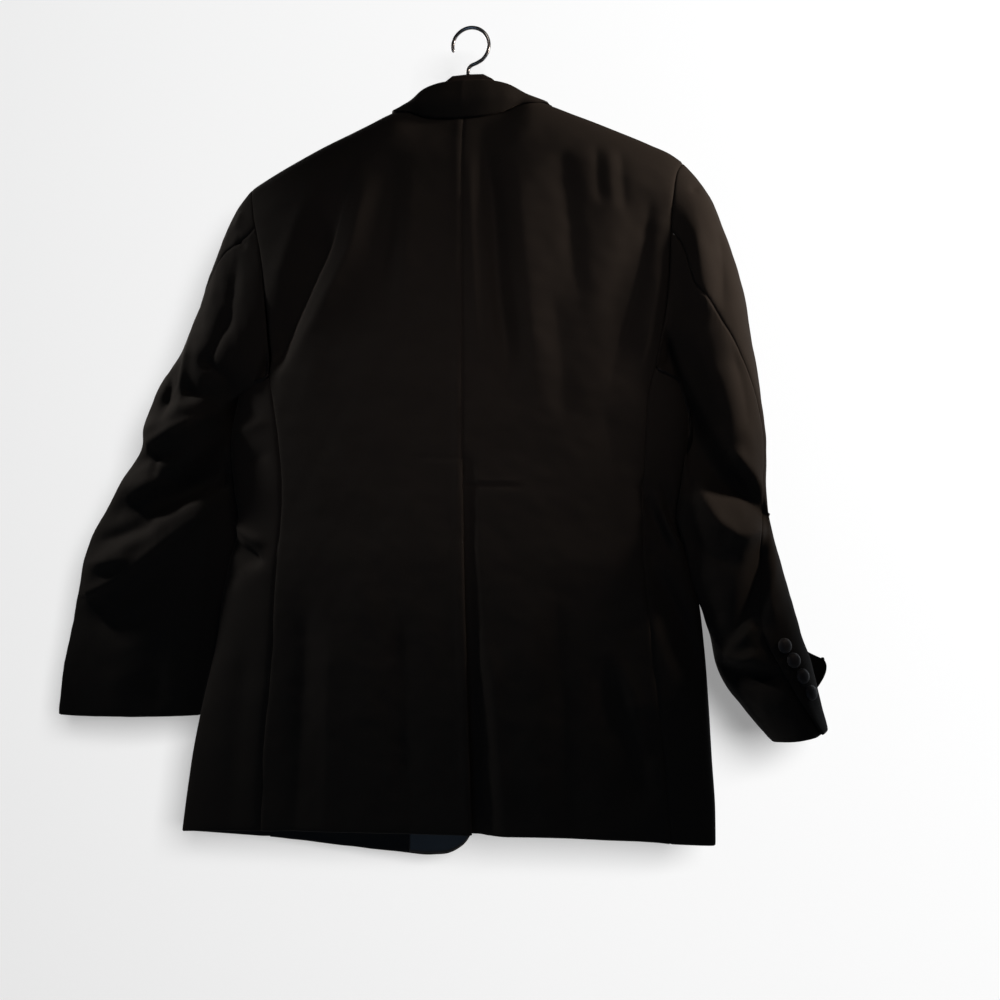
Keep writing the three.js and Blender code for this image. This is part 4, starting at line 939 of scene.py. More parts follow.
def panel(name, side, x, hem, v, rise, inset):
    """A panel of the body over its grid of places."""
    z = row_level(hem, x, v)
    points = body_point(side, x, z)
    outer, inner = two_sides(points, hint_along(points, 1, side), rise(points) - inset(x, z), CLOTH)
    for layer in (outer, inner):
        layer[..., 1] = side * np.maximum(side * layer[..., 1], SEAM_GAP / 2)
    return shell(name, outer, inner, WOOL)


def no_inset(x, _z):
    return np.zeros(np.shape(x))


def vent_inset(x, z):
    """The right back panel passes under the left one below the centre seam."""
    out = x - centre_back(z)
    opened = smooth(VENT_TOP + 36, VENT_TOP + 12, z)
    under = (CLOTH + LAP_GAP) * smooth(18, 5, out) * opened
    width = mix(*VENT_BAND, smooth(-500, -850, z))
    sunk = mix(*VENT_SINK, smooth(VENT_TOP, -840, z)) * smooth(width, 4, out)
    return under + sunk * smooth(VENT_TOP + 4, VENT_TOP - 30, z)


def front_inset(x, z):
    """The right front passes under the left one, deeper where its lapel passes under too."""
    below = smooth(-250, -340, z)
    lap = (CLOTH + LAP_GAP) * smooth(72, 36, x)
    lapel_room = LAPEL_ROOM * smooth(95, 30, x) * smooth(-500, -440, z)
    return (lap + lapel_room) * below


def back_rise(points, **outer_edge):
    """Creases of a back panel, its sewn edges, and its hem beside the open vent."""
    opened = smooth(VENT_TOP + 2, VENT_TOP - 14, points[..., 2])
    seams = seam_roll(points, left=SEAM_SINK, right=SEAM_SINK) * (1 - opened)
    hem_roll = seam_roll(points, low=HEM_SINK, **outer_edge)
    return cloth_rise(points, -1, BACK_CREASES, 11) + seams + hem_roll * opened


def back_left():
    v = panel_rows()[:, None]
    start = meet(hem_back, edge_left, v)
    end = meet(hem_back, centre_back, v) - SEAM_GAP / 4
    x = mix(start, end, np.linspace(0, 1, BACK_CELLS + 1))

    def rise(points):
        out = arc(points, 1)[:, -1:] - arc(points, 1)
        lip = 0.7 * np.exp(-((out - 5) / 4) ** 2)
        return back_rise(points, left=SEAM_SINK) + lip

    return panel("back_left_cloth", -1, x, hem_back, v, rise, no_inset)


def back_right():
    v = panel_rows()[:, None]
    seam = meet(hem_back, centre_back, v) + SEAM_GAP / 4
    level = row_level(hem_back, seam, v)
    lap = VENT_LAP * smooth(VENT_TOP + 8, VENT_TOP - 16, level)
    end = meet(hem_back, edge_right, v)
    folded = mix(seam - lap, seam + 3, np.linspace(0, 1, LAP_CELLS, endpoint=False))
    rest = mix(seam + 3, end, np.linspace(0, 1, BACK_CELLS + 1))
    x = np.concatenate([folded, rest], axis=1)

    def rise(points):
        return back_rise(points, right=SEAM_SINK)

    return panel("back_right_cloth", -1, x, hem_back, v, rise, vent_inset)


def front_panel(name, hem, seam_line, edge_line, inset, seed):
    v = panel_rows()[:, None]
    start = meet(hem, seam_line, v)
    end = meet(hem, edge_line, v)
    x = mix(start, end, np.linspace(0, 1, FRONT_CELLS + 1))

    def rise(points):
        return cloth_rise(points, 1, FRONT_CREASES, seed) + seam_roll(points, left=SEAM_SINK, low=HEM_SINK)

    return panel(name, 1, x, hem, v, rise, inset)


def side_point(sign, around, v):
    """A point round the body's edge, from the back seam (0) to the front seam (1)."""
    left = sign < 0
    front_hem = hem_front_left if left else hem_front_right
    back_x = meet(hem_back, edge_left if left else edge_right, v)
    front_x = meet(front_hem, front_seam_left if left else front_seam_right, v)
    dip = ARMPIT_DIP * np.sin(math.pi * around) * (v / ARMPIT_SHARE)
    level = mix(row_level(hem_back, back_x, v), row_level(front_hem, front_x, v), around) - dip
    section = body(level)
    centre = (section["left"] + section["right"]) / 2
    half = (section["right"] - section["left"]) / 2

    def angle(x):
        return np.arccos(np.clip(np.abs(x - centre) / half, 0, 1) ** (EDGE_POWER / 2))

    turn = mix(-angle(back_x), angle(front_x), around)
    x = centre + sign * half * np.cos(turn) ** (2 / EDGE_POWER)
    depth = np.where(turn < 0, section["back"], section["front"])
    flat = depth * np.abs(np.sin(turn)) ** (2 / EDGE_POWER)
    folds = np.where(turn < 0, fold_rise(BACK_FOLDS, x, level), fold_rise(FRONT_FOLDS, x, level))
    y = np.where(turn < 0, -1, 1) * (flat + folds * edge_fade(flat)) + SEAM_GAP / 2 * np.sin(turn)
    return np.stack(np.broadcast_arrays(x, y, level), -1)


def side_panel(name, sign, seed):
    rows = panel_rows()
    v = rows[rows <= ARMPIT_SHARE + 1e-9][:, None]
    around = np.linspace(0.001, 0.999, SIDE_CELLS + 1)[None]
    points = side_point(sign, around, v)
    x, y, z = (points[..., axis] for axis in range(3))
    shown = edge_fade(np.abs(y))
    rise = np.where(y < 0, crease_rise(BACK_CREASES, x, z), crease_rise(FRONT_CREASES, x, z)) * shown
    rise += seam_roll(points, left=SEAM_SINK, right=SEAM_SINK, low=HEM_SINK, high=0.5)
    rise += 0.3 * unevenness(points, 48, seed) * shown
    return shell(name, *two_sides(points, hint_along(points, 0, sign), rise, CLOTH), WOOL)


def row_share(j):
    low = ARMPIT_SHARE * j / LOW_ROWS
    high = mix(ARMPIT_SHARE, ROUND_SHARE, (j - LOW_ROWS) / HIGH_ROWS)
    over = mix(ROUND_SHARE, 1, (j - LOW_ROWS - HIGH_ROWS) / ROUND_ROWS)
    return np.where(j <= LOW_ROWS, low, np.where(j <= LOW_ROWS + HIGH_ROWS, high, over))


ROWS = LOW_ROWS + HIGH_ROWS + ROUND_ROWS
ARM_STEPS = HIGH_ROWS + ROUND_ROWS
RING_COUNT = 2 * ARM_STEPS + SIDE_COLUMNS


def armhole(sign, q):
    """The armhole at a place on its ring: down the back, under the arm, and up the front."""
    left = sign < 0

    def edge_point(facing, hem, line, share):
        x = meet(hem, line, share)
        return body_point(facing, x, row_level(hem, x, share))

    back_share = row_share(ROWS - np.clip(q, 0, ARM_STEPS))
    back = edge_point(-1, hem_back, edge_left if left else edge_right, back_share)
    front_hem = hem_front_left if left else hem_front_right
    front_share = row_share(LOW_ROWS + np.clip(q - ARM_STEPS - SIDE_COLUMNS, 0, ARM_STEPS))
    fore = edge_point(1, front_hem, front_seam_left if left else front_seam_right, front_share)
    around = np.clip((q - ARM_STEPS) / SIDE_COLUMNS, 0, 1)
    under = side_point(sign, around, np.full(np.shape(q), ARMPIT_SHARE))
    chosen = np.where((q < ARM_STEPS)[..., None], back, under)
    return np.where((q > ARM_STEPS + SIDE_COLUMNS)[..., None], fore, chosen)


def sleeve_ring(row, degrees):
    turn = np.radians(degrees)
    out = (1 + np.cos(turn)) / 2
    far = np.maximum(0, -np.sin(turn)) ** 2.2
    tuck = row["tuck"] * np.exp(-(((np.mod(degrees, 360) - TUCK_AT) / TUCK_WIDTH) ** 2))
    x = mix(row["innerX"], row["outerX"], out) + row["farX"] * far - tuck
    y = row["y"] - row["depth"] * np.sin(turn)
    z = mix(row["innerZ"], row["outerZ"], out) + row["farZ"] * far
    return np.stack(np.broadcast_arrays(x, y, z), -1)


class Sleeve:
    """A sleeve's surface, by place on the armhole's ring and by share of its length."""

    def __init__(self, sign, rows, folds, snug, snug_turn):
        self.sign = sign
        self.folds = folds
        self.snug = snug
        self.snug_turn = snug_turn
        self.station = curves(rows, "at")
        self.start = self.station(0.0)
        fine = np.linspace(0, RING_COUNT, 401)
        ring = armhole(sign, fine)
        self.lowest = fine[np.argmin(ring[:, 2])]
        corners = self.degrees(np.arange(RING_COUNT + 1.0))
        self.back_corner = int(np.argmin(np.abs(corners - self.start["seam"])))
        self.front_corner = int(np.argmin(np.abs(corners - FRONT_SLEEVE_SEAM)))
        self.first = corners[self.back_corner]
        self.second = corners[self.front_corner]

    def degrees(self, q):
        middle = (self.start["innerZ"] + self.start["outerZ"]) / 2
        reach = (self.start["outerZ"] - self.start["innerZ"]) / 2
        level = armhole(self.sign, q)[..., 2]
        angle = np.degrees(np.arccos(np.clip((level - middle) / reach, -1, 1)))
        angle = np.where(q <= self.lowest, angle, 360 - angle)
        return np.where(q <= 0, 0, np.where(q >= RING_COUNT, 360, angle))

    def angle(self, degrees, at):
        """Columns slide round the sleeve so that the seams follow their own line."""
        settle = smooth(0, 0.06, at)
        seam = mix(self.first, self.station(at)["seam"], settle)
        fore = mix(self.second, FRONT_SLEEVE_SEAM, settle)
        between = mix(seam, fore, (degrees - self.first) / (self.second - self.first))
        turns = np.where(degrees > self.second, 1, 0)
        share = (degrees + 360 * (1 - turns) - self.second) / (self.first + 360 - self.second)
        around = mix(FRONT_SLEEVE_SEAM - 360, seam, share) + 360 * turns
        under = (degrees > self.first) & (degrees <= self.second)
        return mix(degrees, np.where(under, between, around), smooth(0, 0.12, at))

    def surface(self, q, at):
        q = np.mod(q, RING_COUNT)
        degrees = self.degrees(q)
        under = np.maximum(0, -np.cos(np.radians(degrees))) ** 2
        clear = np.zeros((*np.shape(q), 3))
        clear[..., 0] = self.sign * SEAM_GAP
        clear[..., 2] = SEAM_GAP * 1.5 * under
        offset = armhole(self.sign, q) + clear - sleeve_ring(self.start, degrees)
        angle = self.angle(degrees, at)
        points = sleeve_ring(self.station(at), angle) + offset * (1 - smooth(0, 0.3, at))[..., None]
        facing = np.sin(np.radians(angle))
        rise = fold_rise(self.folds, points[..., 0], points[..., 2]) * smooth(0.02, 0.1, at)
        points[..., 1] -= rise * np.sign(facing) * np.minimum(1, np.abs(facing) * 1.3)
        order = np.argsort(self.snug["z"])
        lean = np.interp(points[..., 2], self.snug["z"][order], self.snug["shift"][order])
        inner = np.exp(-(((angle - self.snug_turn) / SNUG_SPREAD) ** 2))
        points[..., 0] += lean * inner
        return points, facing


def sleeve_piece(name, arm, start, end, cells, creases, edges, seed):
    """One piece of a sleeve, from one place on the armhole's ring to the next."""
    at = np.linspace(0, 1, SLEEVE_CELLS + 1)[:, None]
    top = "top" in name
    gap = SLEEVE_GAP * smooth(-0.005, 0.03, at)
    lap = -gap if top else mix(-gap, CUFF_LAP, smooth(*CUFF_LAPS, at))
    fine_end = start + FINE_EDGE
    q = np.concatenate([
        mix(start - lap, fine_end, np.linspace(0, 1, LAP_CELLS, endpoint=False)[None]),
        mix(fine_end, end - gap, np.linspace(0, 1, cells + 1)[None]),
    ], axis=1)
    # A column more on either side gives both pieces the same normals at their seam
    q = np.concatenate([2 * q[:, :1] - q[:, 1:2], q, 2 * q[:, -1:] - q[:, -2:-1]], axis=1)
    points, facing = arm.surface(*np.broadcast_arrays(q, at))
    axis = arm.station(at)
    middle = np.stack(np.broadcast_arrays(
        (axis["innerX"] + axis["outerX"]) / 2 + 0 * q, axis["y"], (axis["innerZ"] + axis["outerZ"]) / 2,
    ), -1)
    hint = points - middle
    x, z = points[..., 0], points[..., 2]
    share = np.where(facing < 0, FRONT_CREASES_SHARE, 1.0)
    rise = crease_rise(creases, x, z) * (smooth(0.004, 0.05, at) * smooth(0.02, 0.6, np.abs(facing)) * share)
    rise += edge_rise(edges, x, z) * (smooth(0, 0.04, at) * smooth(0.35, 0.8, facing))
    half = np.abs(points[..., 1] - axis["y"])
    rise = np.maximum(rise, -np.where(facing < 0, DEEPEST_FRONT, DEEPEST_BACK) * half)
    points[..., 1] -= np.sign(facing) * rise
    uneven = 0.4 * unevenness(points, 46, seed) + 0.16 * unevenness(points, 17, seed + 1)
    uneven *= smooth(0, 0.1, at)
    points = (points + grid_normals(points, hint) * uneven[..., None])[:, 1:-1]
    sewn = seam_roll(points, left=SEAM_SINK, right=SEAM_SINK, low=0.5, high=0.3) * (1 - cuff_open(at))
    sewn += seam_roll(points, high=0.3) * cuff_open(at) + cuff_lift(points, at, top)
    thickness = CLOTH * mix(0.35, 1, smooth(0, 0.07, at))[..., None]
    return shell(name, *two_sides(points, hint[:, 1:-1], sewn, thickness), WOOL)


def cuff_open(at):
    """1 below the top of the cuff's vent."""
    return smooth(*CUFF_OPENS, at)


def cuff_lift(points, at, top):
    """The upper piece laps over the under one at the cuff's vent, where the buttons sit."""
    across = arc(points, 1)
    if top:
        from_edge = across[:, -1:] - across
        return 1.1 * np.exp(-((from_edge / 14) ** 2)) * cuff_open(at)
    return -(CLOTH + LAY_GAP) * (1 - smooth(12, 26, across)) * cuff_open(at)


def laid(name, facing, x, z, lift, thickness, material):
    """A piece that lies on a panel, over a grid of places on it."""
    points = body_point(facing, x, z)
    normals = grid_normals(points, hint_along(points, 1, facing))
    inner = points + normals * lift
    return shell(name, inner + normals * thickness, inner, material)


def cell_corners(cells):
    """Shares up and across a grid with that many rows and columns of cells."""
    return np.linspace(0, 1, cells[0] + 1)[:, None], np.linspace(0, 1, cells[1] + 1)[None]


def lapel(name, sign, gap, roll, inset):
    """A lapel's face, rolled over the front edge along its fold."""
    width = curve(LAPEL, "z", "width")
    drop = curve(LAPEL, "z", "drop")
    edge = front_edge_left if sign < 0 else front_edge_right
    up = np.linspace(LAPEL["z"][0], LAPEL["z"][-1], LAPEL_CELLS[0] + 1)[:, None]
    across = np.linspace(0, 1, LAPEL_CELLS[1] + 1)[None]
    x = edge(up) + sign * width(up) * across
    z = up - drop(up) * across
    points = body_point(1, x, z)
    normals = grid_normals(points, hint_along(points, 1, 1))
    height = gap + roll * (1 - across) ** 2 - inset(x, z) + 0.12 * unevenness(points, 40, 31)
    soft = 0.8 * np.sin(math.pi * across) * smooth(-436, -330, up)
    inner = points + normals * (height + soft)[..., None]
    outer = inner + normals * SATIN
    turn = np.linspace(math.radians(150), 0, LAPEL_WRAP, endpoint=False)
    turned = smooth(-436, -395, up) * 0.9 + 0.1
    reach = (height[:, :1] + SATIN + CLOTH + inset(x, z)[:, :1]) / 2 * turned
    side_way = np.array([-sign, 0, 0])
    first = normals[:, :1]
    wrapped = {}
    for key, top, radius in (("outer", outer, reach), ("inner", inner, reach - SATIN * 0.9 * turned)):
        centre = top[:, :1] - first * radius[..., None]
        ahead = side_way * (radius * np.sin(turn))[..., None]
        wrapped[key] = centre + first * (radius * np.cos(turn))[..., None] + ahead
    outer = np.concatenate([wrapped["outer"], outer], axis=1)
    inner = np.concatenate([wrapped["inner"], inner], axis=1)
    return shell(name, outer, inner, SATIN_FACE)


def strip(name, start, end, height, material, thickness, lips):
    """A pocket's edge on a front: one welt, or two lips with the opening between them."""
    up, across = cell_corners(STRIP_CELLS)
    x = mix(start[0], end[0], across) + 0 * up
    z = mix(start[1], end[1], across) + height * (up - 0.5)
    ends = np.minimum(1, 14 * np.minimum(across, 1 - across))
    crown = np.abs(np.sin(lips * math.pi * up)) ** 0.6 * ends
    return laid(name, 1, x, z, LAY_GAP, (thickness * (0.35 + 0.75 * crown))[..., None], material)


def front_facing():
    """The satin inside the left front, which shows below the back's hem."""
    top_level = -802
    inner_edge = -77
    margin = 1.5
    corner = meet(hem_front_left, front_edge_left, np.zeros((1, 1)))
    up, across = cell_corners(FACING_CELLS)
    level = mix(hem_front_left(corner), top_level, up)
    x = mix(inner_edge, front_edge_left(level) - margin, across)
    z = mix(hem_front_left(x) + margin, top_level, up)
    return laid("facing_left_satin", 1, x, z, -(CLOTH + LAY_GAP + SATIN), SATIN, SATIN_FACE)


def collar():
    """The collar: a leaf over the panels and a stand on the neck seam, joined by the fold."""
    place = np.linspace(-1, 1, COLLAR_CELLS[1] + 1)
    row = curves(COLLAR, "part")(np.abs(place))
    sign = np.where(place < 0, -1.0, 1.0)
    edge_x = sign * row["edgeX"]
    edge_z = top_line(edge_x) - np.maximum(0, row["drop"])
    behind = row["edgeSide"] <= 0
    step = 0.5
    edge = np.zeros((len(place), 3))
    for facing_side, chosen in ((-1, behind), (1, ~behind)):
        level = np.minimum(edge_z, top_line(edge_x) - 0.6)
        across = body_point(facing_side, edge_x + step, level) - body_point(facing_side, edge_x - step, level)
        along = body_point(facing_side, edge_x, level + step) - body_point(facing_side, edge_x, level - step)
        normal = np.cross(across, along)
        normal /= np.linalg.norm(normal, axis=-1, keepdims=True)
        normal *= np.where(normal[:, 1:2] * facing_side < 0, -1, 1)
        found = body_point(facing_side, edge_x, edge_z) + normal * COLLAR_LIFT
        edge[chosen] = found[chosen]
    middle, fold, foot = (
        np.stack([sign * row[f"{part}X"], row[f"{part}Y"], row[f"{part}Z"]], -1)
        for part in ("middle", "fold", "foot")
    )
    inside = mix(mix(fold, foot, 0.35), middle, -0.12)
    points = np.stack(spline([edge, middle, fold, inside, foot], np.linspace(0, 1, COLLAR_CELLS[0] + 1)))
    hint = points - np.array([0, 0, -130.0])
    rise = 0.15 * unevenness(points, 34, 41) + seam_roll(points, low=0.25)
    return shell("collar_cloth", *two_sides(points, hint, rise, CLOTH * 0.9), WOOL)


def tube(name, path, radii, sides, material):
    """A closed round tube along points in the XZ plane."""
    path = np.asarray(path, float)
    tangent = np.gradient(path, axis=0)
    tangent /= np.linalg.norm(tangent, axis=-1, keepdims=True)
    beside = np.tile([0.0, 1.0, 0.0], (len(path), 1))
    across = np.cross(tangent, beside)
    turn = np.linspace(0, 2 * math.pi, sides, endpoint=False)
    rings = path[:, None] + radii[:, None, None] * (
        across[:, None] * np.cos(turn)[None, :, None] + beside[:, None] * np.sin(turn)[None, :, None])
    return ring_mesh(name, rings, material)


def ring_mesh(name, rings, material):
    """A closed mesh through a row of rings of points, with its two ends capped."""
    count, sides = rings.shape[:2]
    index = np.arange(count * sides).reshape(count, sides)
    beside = np.roll(index, -1, axis=1)
    quads = np.stack([index[:-1], beside[:-1], beside[1:], index[1:]], -1).reshape(-1, 4).tolist()
    vertices = np.concatenate([rings.reshape(-1, 3), rings[0].mean(0)[None], rings[-1].mean(0)[None]])
    start, end = count * sides, count * sides + 1
    caps = [(start, int(index[0, (k + 1) % sides]), int(index[0, k])) for k in range(sides)]
    caps += [(end, int(index[-1, k]), int(index[-1, (k + 1) % sides])) for k in range(sides)]
    return mesh_object(name, vertices, quads + caps, material)


HANGER_ARM = table("x drop height depth", [
    (-214, 9, 8, 5), (-208, 5, 21, 10), (-190, 3.5, 23, 12.5), (-158, 3.2, 22, 13),
    (-122, 3.2, 22, 13), (-88, 4.5, 24, 13), (88, 4.5, 24, 13), (112, 3.4, 23, 13),
    (153, 3.4, 22, 13), (180, 3.8, 24, 12), (196, 5.5, 22, 10), (202, 9, 10, 5),
])
HANGER_NECK = table("x top bottom depth", [
    (-62, -93, -114, 13), (-42, -74, -108, 12), (-30, -56.5, -104, 11), (-20, -49.2, -103, 10),
    (NECK_X, NECK_TOP, -102, 10), (14, -49.2, -103, 10), (25, -55.5, -104, 11),
    (38, -73, -108, 12), (60, -93, -114, 13),
])


def hanger():
    top = top_line(HANGER_ARM["x"]) - HANGER_ARM["drop"]
    rows = {
        "x": np.concatenate([HANGER_ARM["x"], HANGER_NECK["x"]]),
        "top": np.concatenate([top, HANGER_NECK["top"]]),
        "bottom": np.concatenate([top - HANGER_ARM["height"], HANGER_NECK["bottom"]]),
        "depth": np.concatenate([HANGER_ARM["depth"], HANGER_NECK["depth"]]),
    }
    x = np.linspace(rows["x"].min(), rows["x"].max(), 209)
    order = np.argsort(rows["x"])
    sections = {name: np.interp(x, rows["x"][order], rows[name][order]) for name in rows}
    turn = np.linspace(0, 2 * math.pi, 36, endpoint=False)
    y = sections["depth"][:, None] * np.sin(turn)
    z = mix(sections["bottom"][:, None], sections["top"][:, None], (1 + np.cos(turn)) / 2)
    rings = np.stack(np.broadcast_arrays(x[:, None], y, z), -1)
    return ring_mesh("hanger_body", rings, PLASTIC)


def hook():
    bend = HOOK_RADIUS + WIRE / 2
    path = [(NECK_X, 0, NECK_TOP + SEAM_GAP), (NECK_X, 0, -44), (0, 0, -39.5), (7, 0, -36.5)]
    for degrees in (-48, -22, 6, 34, 62, 90, 118, 146, 174, 196):
        turn = math.radians(degrees)
        path.append((bend * math.cos(turn), 0, -HOOK_RADIUS + bend * math.sin(turn)))
    points = [np.array(point, float) for point in path]
    fine = spline(points, np.linspace(0, 1, 150))
    radii = np.full(len(fine), WIRE / 2)
    radii[-4:] *= np.array([0.97, 0.86, 0.66, 0.35])
    return tube("hook_wire", fine, radii, 20, STEEL)


BUTTON = table("out up", [
    (0.5, 0), (0.58, 0.02), (0.8, 0.1), (0.95, 0.22), (1, 0.33), (0.985, 0.43), (0.93, 0.53),
    (0.82, 0.62), (0.66, 0.695), (0.46, 0.745), (0.24, 0.775), (0.06, 0.785),
])


def covered_button(node, radius):
    """A domed covered button in the place of the model's one, with its cover gathered underneath."""
    corners = np.array([tuple(v.co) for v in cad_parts[node].data.vertices]) * METRE
    centre = (corners.min(0) + corners.max(0)) / 2
    spread = corners - corners.mean(0)
    axis = np.linalg.svd(spread, full_matrices=False)[2][2]
    axis *= np.sign(axis[1] * centre[1])
    height = spread @ axis
    foot = corners.mean(0) + axis * height.min()
    beside = np.cross(axis, [0.0, 0.0, 1.0])
    beside /= np.linalg.norm(beside)
    other = np.cross(axis, beside)
    turn = np.linspace(0, 2 * math.pi, 48, endpoint=False)
    rings = []
    for out, up in zip(BUTTON["out"], BUTTON["up"]):
        gathered = 1 + 0.03 * np.sin(12 * turn) * max(0, 1 - up / 0.3)
        reach = radius * out * gathered
        flat = beside * np.cos(turn)[:, None] + other * np.sin(turn)[:, None]
        rings.append(foot + axis * radius * up + flat * reach[:, None])
    return ring_mesh(f"{node}_cover", np.array(rings), COVERED)


def seat(piece, node, sheet=None):
    """A piece rides on the jacket in the place of its node, whose own part is hidden; its cut's size is
    worked out and not kept.
    """
    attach(piece, "root")
    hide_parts(node)
    if sheet is not None:
        width, length, area = piece["cut"]
        min(area, width * length) / METRE**2


HUNG = ("hung", ["hanger_body"])
seat(back_left(), "back_left", HUNG)
seat(back_right(), "back_right", HUNG)
seat(side_panel("side_left_cloth", -1, 17), "side_left", ("hung", ["back_left_cloth"]))
seat(side_panel("side_right_cloth", 1, 19), "side_right", ("hung", ["back_right_cloth"]))
seat(front_panel("front_left_cloth", hem_front_left, front_seam_left, front_edge_left, no_inset, 23),
     "front_left", HUNG)
seat(front_panel("front_right_cloth", hem_front_right, front_seam_right, front_edge_right, front_inset, 27),
     "front_right", HUNG)
seat(collar(), "collar", ("folded", ["back_left_cloth", "back_right_cloth"]))
seat(lapel("lapel_left_satin", -1, LAY_GAP, 3.2, no_inset), "lapel_left",
     ("folded", ["front_left_cloth"]))
seat(lapel("lapel_right_satin", 1, LAY_GAP * 2, 1, front_inset), "lapel_right",
     ("folded", ["front_right_cloth"]))
seat(front_facing(), "facing_left", ("hung", ["front_left_cloth"]))
seat(strip("pocket_jet_left_satin", (-190, -612), (-58, -600), 12, SATIN_FACE, SATIN, 2),
     "pocket_jet_left", ("laid", ["front_left_cloth"]))
seat(strip("pocket_jet_right_satin", (62, -600), (180, -612), 12, SATIN_FACE, SATIN, 2),
     "pocket_jet_right", ("laid", ["front_right_cloth"]))
seat(strip("breast_welt_cloth", (-190, -288), (-98, -298), 22, WOOL, CLOTH, 1),
     "breast_welt", ("laid", ["front_left_cloth"]))

for hand, sign, rows, folds, creases, edges, snug, snug_turn, seed in (
    ("left", -1, SLEEVE_LEFT, LEFT_SLEEVE_FOLDS, LEFT_SLEEVE_CREASES, LEFT_SLEEVE_EDGES,
     SNUG_LEFT, 205, 51),
    ("right", 1, SLEEVE_RIGHT, RIGHT_SLEEVE_FOLDS, RIGHT_SLEEVE_CREASES, RIGHT_SLEEVE_EDGES,
     SNUG_RIGHT, 145, 61),
):
    arm = Sleeve(sign, rows, folds, snug, snug_turn)
    under = sleeve_piece(f"sleeve_under_{hand}_cloth", arm, arm.back_corner, arm.front_corner,
                         UNDER_SLEEVE_CELLS, creases, edges, seed)
    upper = sleeve_piece(f"sleeve_top_{hand}_cloth", arm, arm.front_corner, arm.back_corner + RING_COUNT,
                         TOP_SLEEVE_CELLS, creases, edges, seed)
    seat(under, f"sleeve_under_{hand}", ("hung", [f"sleeve_top_{hand}_cloth"]))
    seat(upper, f"sleeve_top_{hand}", ("hung", ["back_left_cloth", "back_right_cloth"]))
    for n in range(1, 5):
        node = f"cuff_button_{hand}_{n}"
        seat(covered_button(node, CUFF_BUTTON), node)

seat(covered_button("front_button", FRONT_BUTTON), "front_button")
seat(hanger(), "hanger")
seat(hook(), "hook")


def stage_plane(name, corners, material):
    mesh = bpy.data.meshes.new(name)
    mesh.from_pydata(corners, [], [(0, 1, 2, 3)])
    mesh.materials.append(material)
    plane = bpy.data.objects.new(name, mesh)
    bpy.context.scene.collection.objects.link(plane)
    return plane


def backdrop():
    """A pale wall close behind the jacket, seen and shaded from its front only, and a pale floor."""
    wall_material = bpy.data.materials.new("wall_paper")
    wall_material.use_nodes = True
    wall_material.node_tree.nodes.clear()
    nodes = Nodes(wall_material)
    glow = nodes.add("ShaderNodeEmission", {"Color": (1, 1, 1, 1), "Strength": WALL_GLOW})
    paper = nodes.add("ShaderNodeBsdfDiffuse", {"Color": (WALL_GREY, WALL_GREY, WALL_GREY, 1)})
    both = nodes.add("ShaderNodeAddShader", {0: glow.outputs[0], 1: paper.outputs[0]})
    clear = nodes.add("ShaderNodeBsdfTransparent")
    behind = nodes.add("ShaderNodeNewGeometry").outputs["Backfacing"]
    chosen = nodes.add("ShaderNodeMixShader", {0: behind, 1: both.outputs[0], 2: clear.outputs[0]})
    nodes.add("ShaderNodeOutputMaterial", {"Surface": chosen.outputs[0]})
    half = WALL_HALF
    corners = [(-half, WALL_Y, -half), (half, WALL_Y, -half), (half, WALL_Y, half), (-half, WALL_Y, half)]
    wall = stage_plane("wall", corners, wall_material)
    wall.visible_shadow = False
    wall.visible_diffuse = False
    wall.visible_glossy = False

    floor_material, shader, nodes = principled("floor_paint", 0.8)
    cloudy = nodes.noise(nodes.object_place(), 1.2, 3.0)
    colour = nodes.blend(cloudy, (0.80, 0.80, 0.80), (0.86, 0.86, 0.86))
    nodes.tree.links.new(colour, shader.inputs["Base Color"])
    half = FLOOR_HALF
    corners = [(-half, -half, FLOOR_Z), (half, -half, FLOOR_Z), (half, half, FLOOR_Z), (-half, half, FLOOR_Z)]
    stage_plane("floor", corners, floor_material)


def add_light(data, place_at, aim, wall_only=False):
    """A light that is turned to a place, and shines on the wall alone or on all but the wall."""
    made = bpy.data.objects.new(data.name, data)
    made.location = place_at
    made.rotation_mode = "QUATERNION"
    made.rotation_quaternion = (Vector(aim) - Vector(place_at)).to_track_quat("-Z", "Y")
    bpy.context.scene.collection.objects.link(made)
    lit = bpy.data.collections.new(f"{data.name}_wall")
    lit.objects.link(bpy.data.objects["wall"])
    made.light_linking.receiver_collection = lit
    lit.collection_objects[0].light_linking.link_state = "INCLUDE" if wall_only else "EXCLUDE"


def lamp(name, place_at, size, power, colour, wall_only=False):
    """A square lamp that is turned to the jacket."""
    data = bpy.data.lights.new(name, "AREA")
    data.shape = "SQUARE"
    data.size = size
    data.energy = power
    data.color = colour
    add_light(data, place_at, AIM, wall_only)


def spot(name, place_at, aim, width, radius, power, colour):
    """A narrow light; its width is in degrees, and its radius in metres softens its shadows."""
    data = bpy.data.lights.new(name, "SPOT")
    data.spot_size = math.radians(width)
    data.spot_blend = 1
    data.shadow_soft_size = radius
    data.energy = power
    data.color = colour
    add_light(data, place_at, aim)


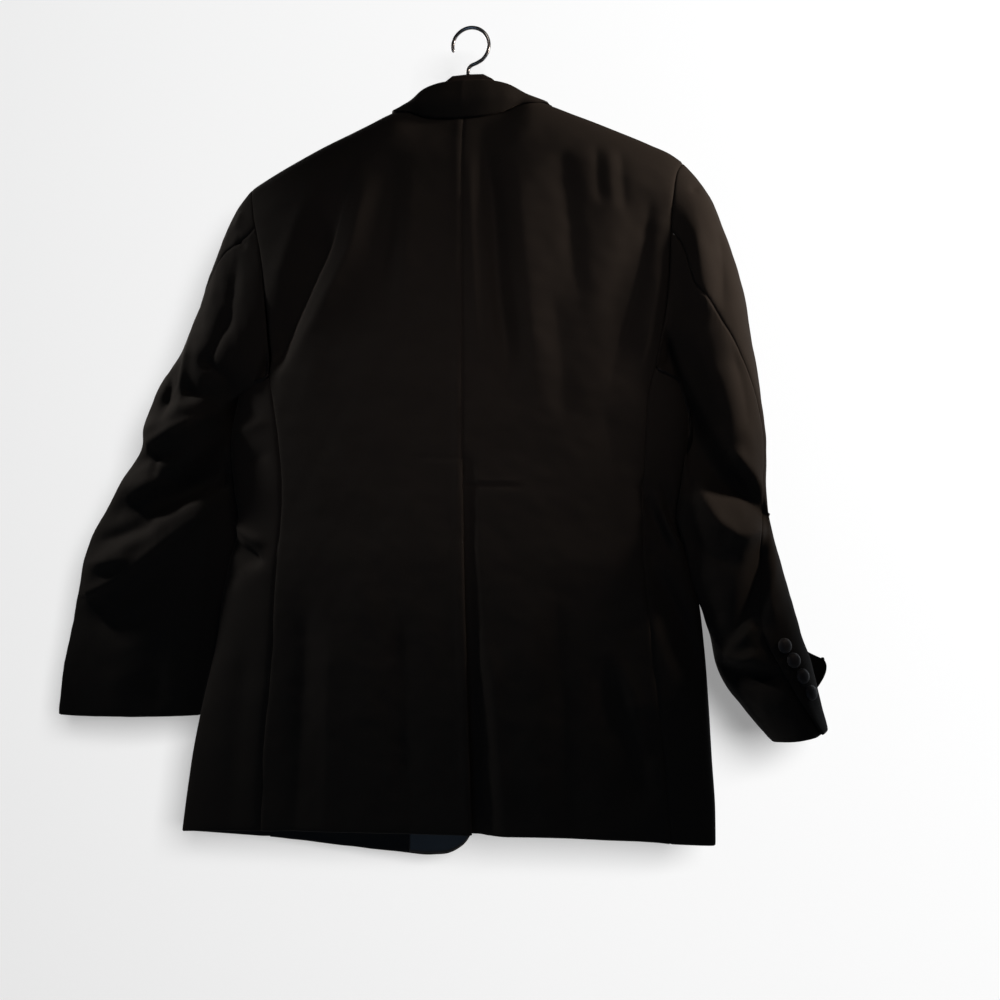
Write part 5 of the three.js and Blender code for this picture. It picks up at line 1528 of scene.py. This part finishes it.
def studio():
    """Warm light along the wall from both sides, a soft one on the back's middle, and a cool fill."""
    spot("key_light", (0.95, -0.07, 0.02), (0.27, -0.04, -0.25), 54, 0.08, 33, WARM)
    spot("top_light", (0.22, -0.60, 0.40), (-0.05, -0.05, -0.45), 64, 0.08, 2.8, SOFT_WARM)
    spot("middle_light", (0.4, -1.1, -0.1), (0.03, -0.05, -0.37), 27, 0.15, 13, ROSY)
    spot("left_light", (-1.0, -0.17, 0.22), (-0.35, -0.03, -0.40), 40, 0.05, 17, PALE_WARM)
    lamp("fill_light", (-0.4, -2.2, -1.1), 1.2, 1.7, COOL)
    lamp("front_key", (-1.1, 1.6, 0.4), 1.0, 14, (1.0, 0.95, 0.9))
    lamp("front_fill", (1.5, 1.5, -0.3), 1.4, 6, (0.88, 0.94, 1.0))
    lamp("wall_light", (1.9, -3.9, 0.4), 2.0, 258, (1.0, 1.0, 1.0), wall_only=True)
    world = bpy.data.worlds.new("studio_air")
    bpy.context.scene.world = world
    world.use_nodes = True
    tree = world.node_tree
    air = tree.nodes["Background"]
    air.inputs["Color"].default_value = (0.75, 0.87, 1, 1)
    air.inputs["Strength"].default_value = AIR_LIGHT
    seen = tree.nodes.new("ShaderNodeBackground")
    seen.inputs["Color"].default_value = (AIR_SEEN, AIR_SEEN, AIR_SEEN, 1)
    ray = tree.nodes.new("ShaderNodeLightPath")
    chosen = tree.nodes.new("ShaderNodeMixShader")
    tree.links.new(ray.outputs["Is Camera Ray"], chosen.inputs[0])
    tree.links.new(air.outputs[0], chosen.inputs[1])
    tree.links.new(seen.outputs[0], chosen.inputs[2])
    tree.links.new(chosen.outputs[0], tree.nodes["World Output"].inputs["Surface"])


def camera():
    """The photograph's view: level, a little round to the right, with the horizon a little low."""
    azimuth = math.radians(CAMERA_TURN)
    data = bpy.data.cameras.new("camera")
    data.sensor_width = 36
    data.lens = CAMERA_LENS
    data.shift_y = CAMERA_RISE
    made = bpy.data.objects.new("camera", data)
    made.location = AIM + Vector((math.sin(azimuth), -math.cos(azimuth), 0)) * CAMERA_DISTANCE
    made.rotation_euler = (math.radians(90), 0, azimuth)
    bpy.context.scene.collection.objects.link(made)
    bpy.context.scene.camera = made


backdrop()
studio()
camera()
bpy.context.scene.view_settings.view_transform = "Standard"
